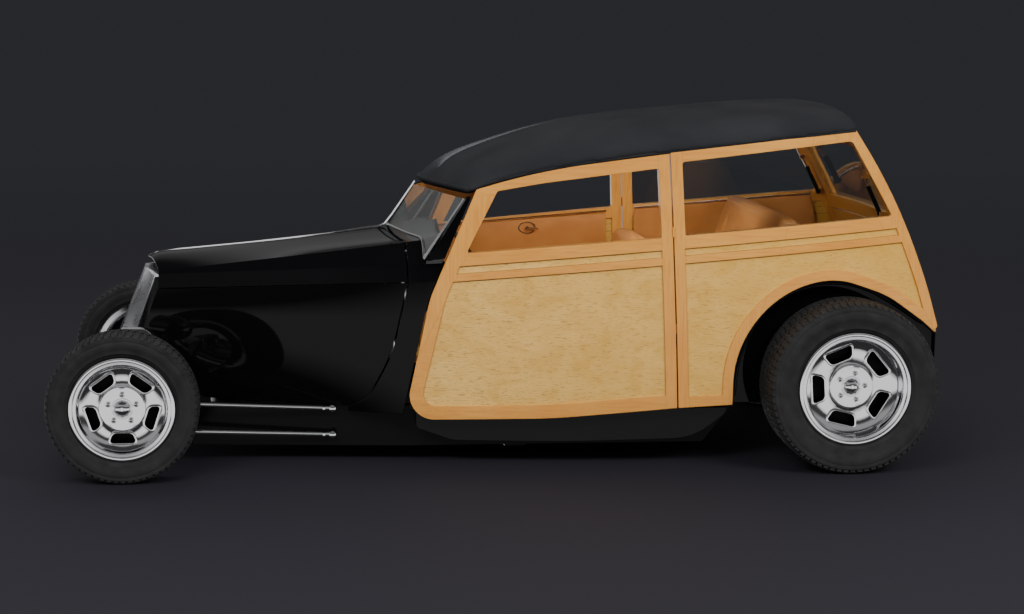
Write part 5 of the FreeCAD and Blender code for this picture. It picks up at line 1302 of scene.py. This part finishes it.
def makePad(name, size, place, lean, seams):
    # one cushion: pleats are drawn in by pinned seams, then air fills the cloth between them
    length, width, height = size
    pad = boxPiece(name, (length / 2, 0, height / 2), (length, width, height), 0.030, 4)
    modify(pad, "REMESH", mode="VOXEL", voxel_size=0.016, use_smooth_shade=True)
    upright = height > 2 * length
    pinned = []
    gap = width / (seams + 1)
    for vertex in pad.data.vertices:
        co = vertex.co
        face = co.x < 0.020 if upright else co.z > height - 0.020
        inside = abs(co.y) < width / 2 - 0.045
        edge = (co.z < height - 0.10 and co.z > 0.03) if upright else (0.045 < co.x < length - 0.045)
        nearest = round(co.y / gap + (seams + 1) / 2) - (seams + 1) / 2
        onSeam = abs(co.y - nearest * gap) < 0.008
        hidden = co.x > length - 0.015 if upright else co.z < 0.015
        if face and inside and edge and onSeam:
            if upright:
                co.x += padding["seam"]
            else:
                co.z -= padding["seam"]
            pinned.append(vertex.index)
        elif hidden:
            pinned.append(vertex.index)
    group = pad.vertex_groups.new(name="seams")
    group.add(pinned, 1.0, "REPLACE")
    cloth = pad.modifiers.new("cloth", "CLOTH")
    for setting, value in padding["cloth"].items():
        setattr(cloth.settings, setting, value)
    cloth.settings.effector_weights.gravity = 0
    cloth.point_cache.frame_start = 1
    cloth.point_cache.frame_end = padding["frames"]
    for step in range(1, padding["frames"] + 1):
        bpy.context.scene.frame_set(step)
    makeActive(pad)
    bpy.ops.object.modifier_apply(modifier="cloth")
    bpy.context.scene.frame_set(1)
    pad.vertex_groups.clear()
    for vertex in pad.data.vertices:
        vertex.co.x = min(max(vertex.co.x, -0.003), length + 0.002)
        vertex.co.y = min(max(vertex.co.y, -width / 2 - 0.004), width / 2 + 0.004)
        vertex.co.z = min(max(vertex.co.z, -0.002), height + 0.006)
    modify(pad, "REMESH", mode="VOXEL", voxel_size=padding["voxel"], use_smooth_shade=True)
    modify(pad, "SMOOTH", factor=0.5, iterations=3)
    pad.data.transform(Matrix.Rotation(math.radians(lean), 4, "Y"))
    pad.data.transform(Matrix.Translation((frontAxleX + place[0], 0, place[1])))
    return pad


def makeSeats():
    pads = {name: makePad(name, *sizes) for name, sizes in seats.items()}
    for name, parts, nodeName in (("seatCushions", ("frontCushion", "rearCushion"), "seat_cushions"),
                                  ("seatBacks", ("frontBack", "rearBack"), "seat_backs")):
        piece = joinPieces(name, [pads[part] for part in parts])
        finishPiece(piece, "car", "tan_leather", 60)
        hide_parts(nodeName)
    print("seats made")


makeSeats()


# Lamps

lampFit = {
    "front": (-0.016, 0.415, 0.486), "tail": (3.3384, 0.439, 0.482),
    "lampRing": [(-0.014, 0.0788), (0.003, 0.0795), (0.008, 0.0765), (0.0085, 0.0725), (0.005, 0.0690),
                 (0.0008, 0.0690), (0.0008, 0.0770), (-0.014, 0.0780), (-0.014, 0.0788)],
    "lampLens": [(0.002, 0.0685), (0.0065, 0.0600), (0.0105, 0.0400), (0.0120, 0.0180), (0.0125, 0.0),
                 (0.0100, 0.0), (0.0095, 0.0180), (0.0080, 0.0400), (0.0045, 0.0590), (0.0010, 0.0670),
                 (0.002, 0.0685)],
    "tailRing": [(-0.012, 0.0390), (0.002, 0.0395), (0.0055, 0.0375), (0.0055, 0.0335), (0.0006, 0.0330),
                 (0.0006, 0.0384), (-0.012, 0.0384), (-0.012, 0.0390)],
    "tailLens": [(0.0008, 0.0325), (0.0060, 0.0290), (0.0105, 0.0180), (0.0125, 0.0), (0.0008, 0.0),
                 (0.0008, 0.0325)],
}


def lampPiece(name, end, side, steps):
    # a ring or lens turned about a front or tail lamp's axis
    x, y, z = lampFit[end]
    axis = (-1, 0, 0) if end == "front" else (1, 0, 0)
    return turnedPiece(name, lampFit[name], (frontAxleX + x, side * y, z), axis, steps)


def makeLamps():
    rings, lenses, redLenses = [], [], []
    for side in (-1, 1):
        rings.append(lampPiece("lampRing", "front", side, 64))
        lenses.append(lampPiece("lampLens", "front", side, 64))
        rings.append(lampPiece("tailRing", "tail", side, 48))
        redLenses.append(lampPiece("tailLens", "tail", side, 48))
    finishPiece(joinPieces("lampRings", rings), "car", "chrome_trim", 35)
    finishPiece(joinPieces("lampLenses", lenses), "car", "window_glass", 60, lensGlass)
    finishPiece(joinPieces("tailLenses", redLenses), "car", "window_glass", 60, redLens)
    print("lamps made")


makeLamps()
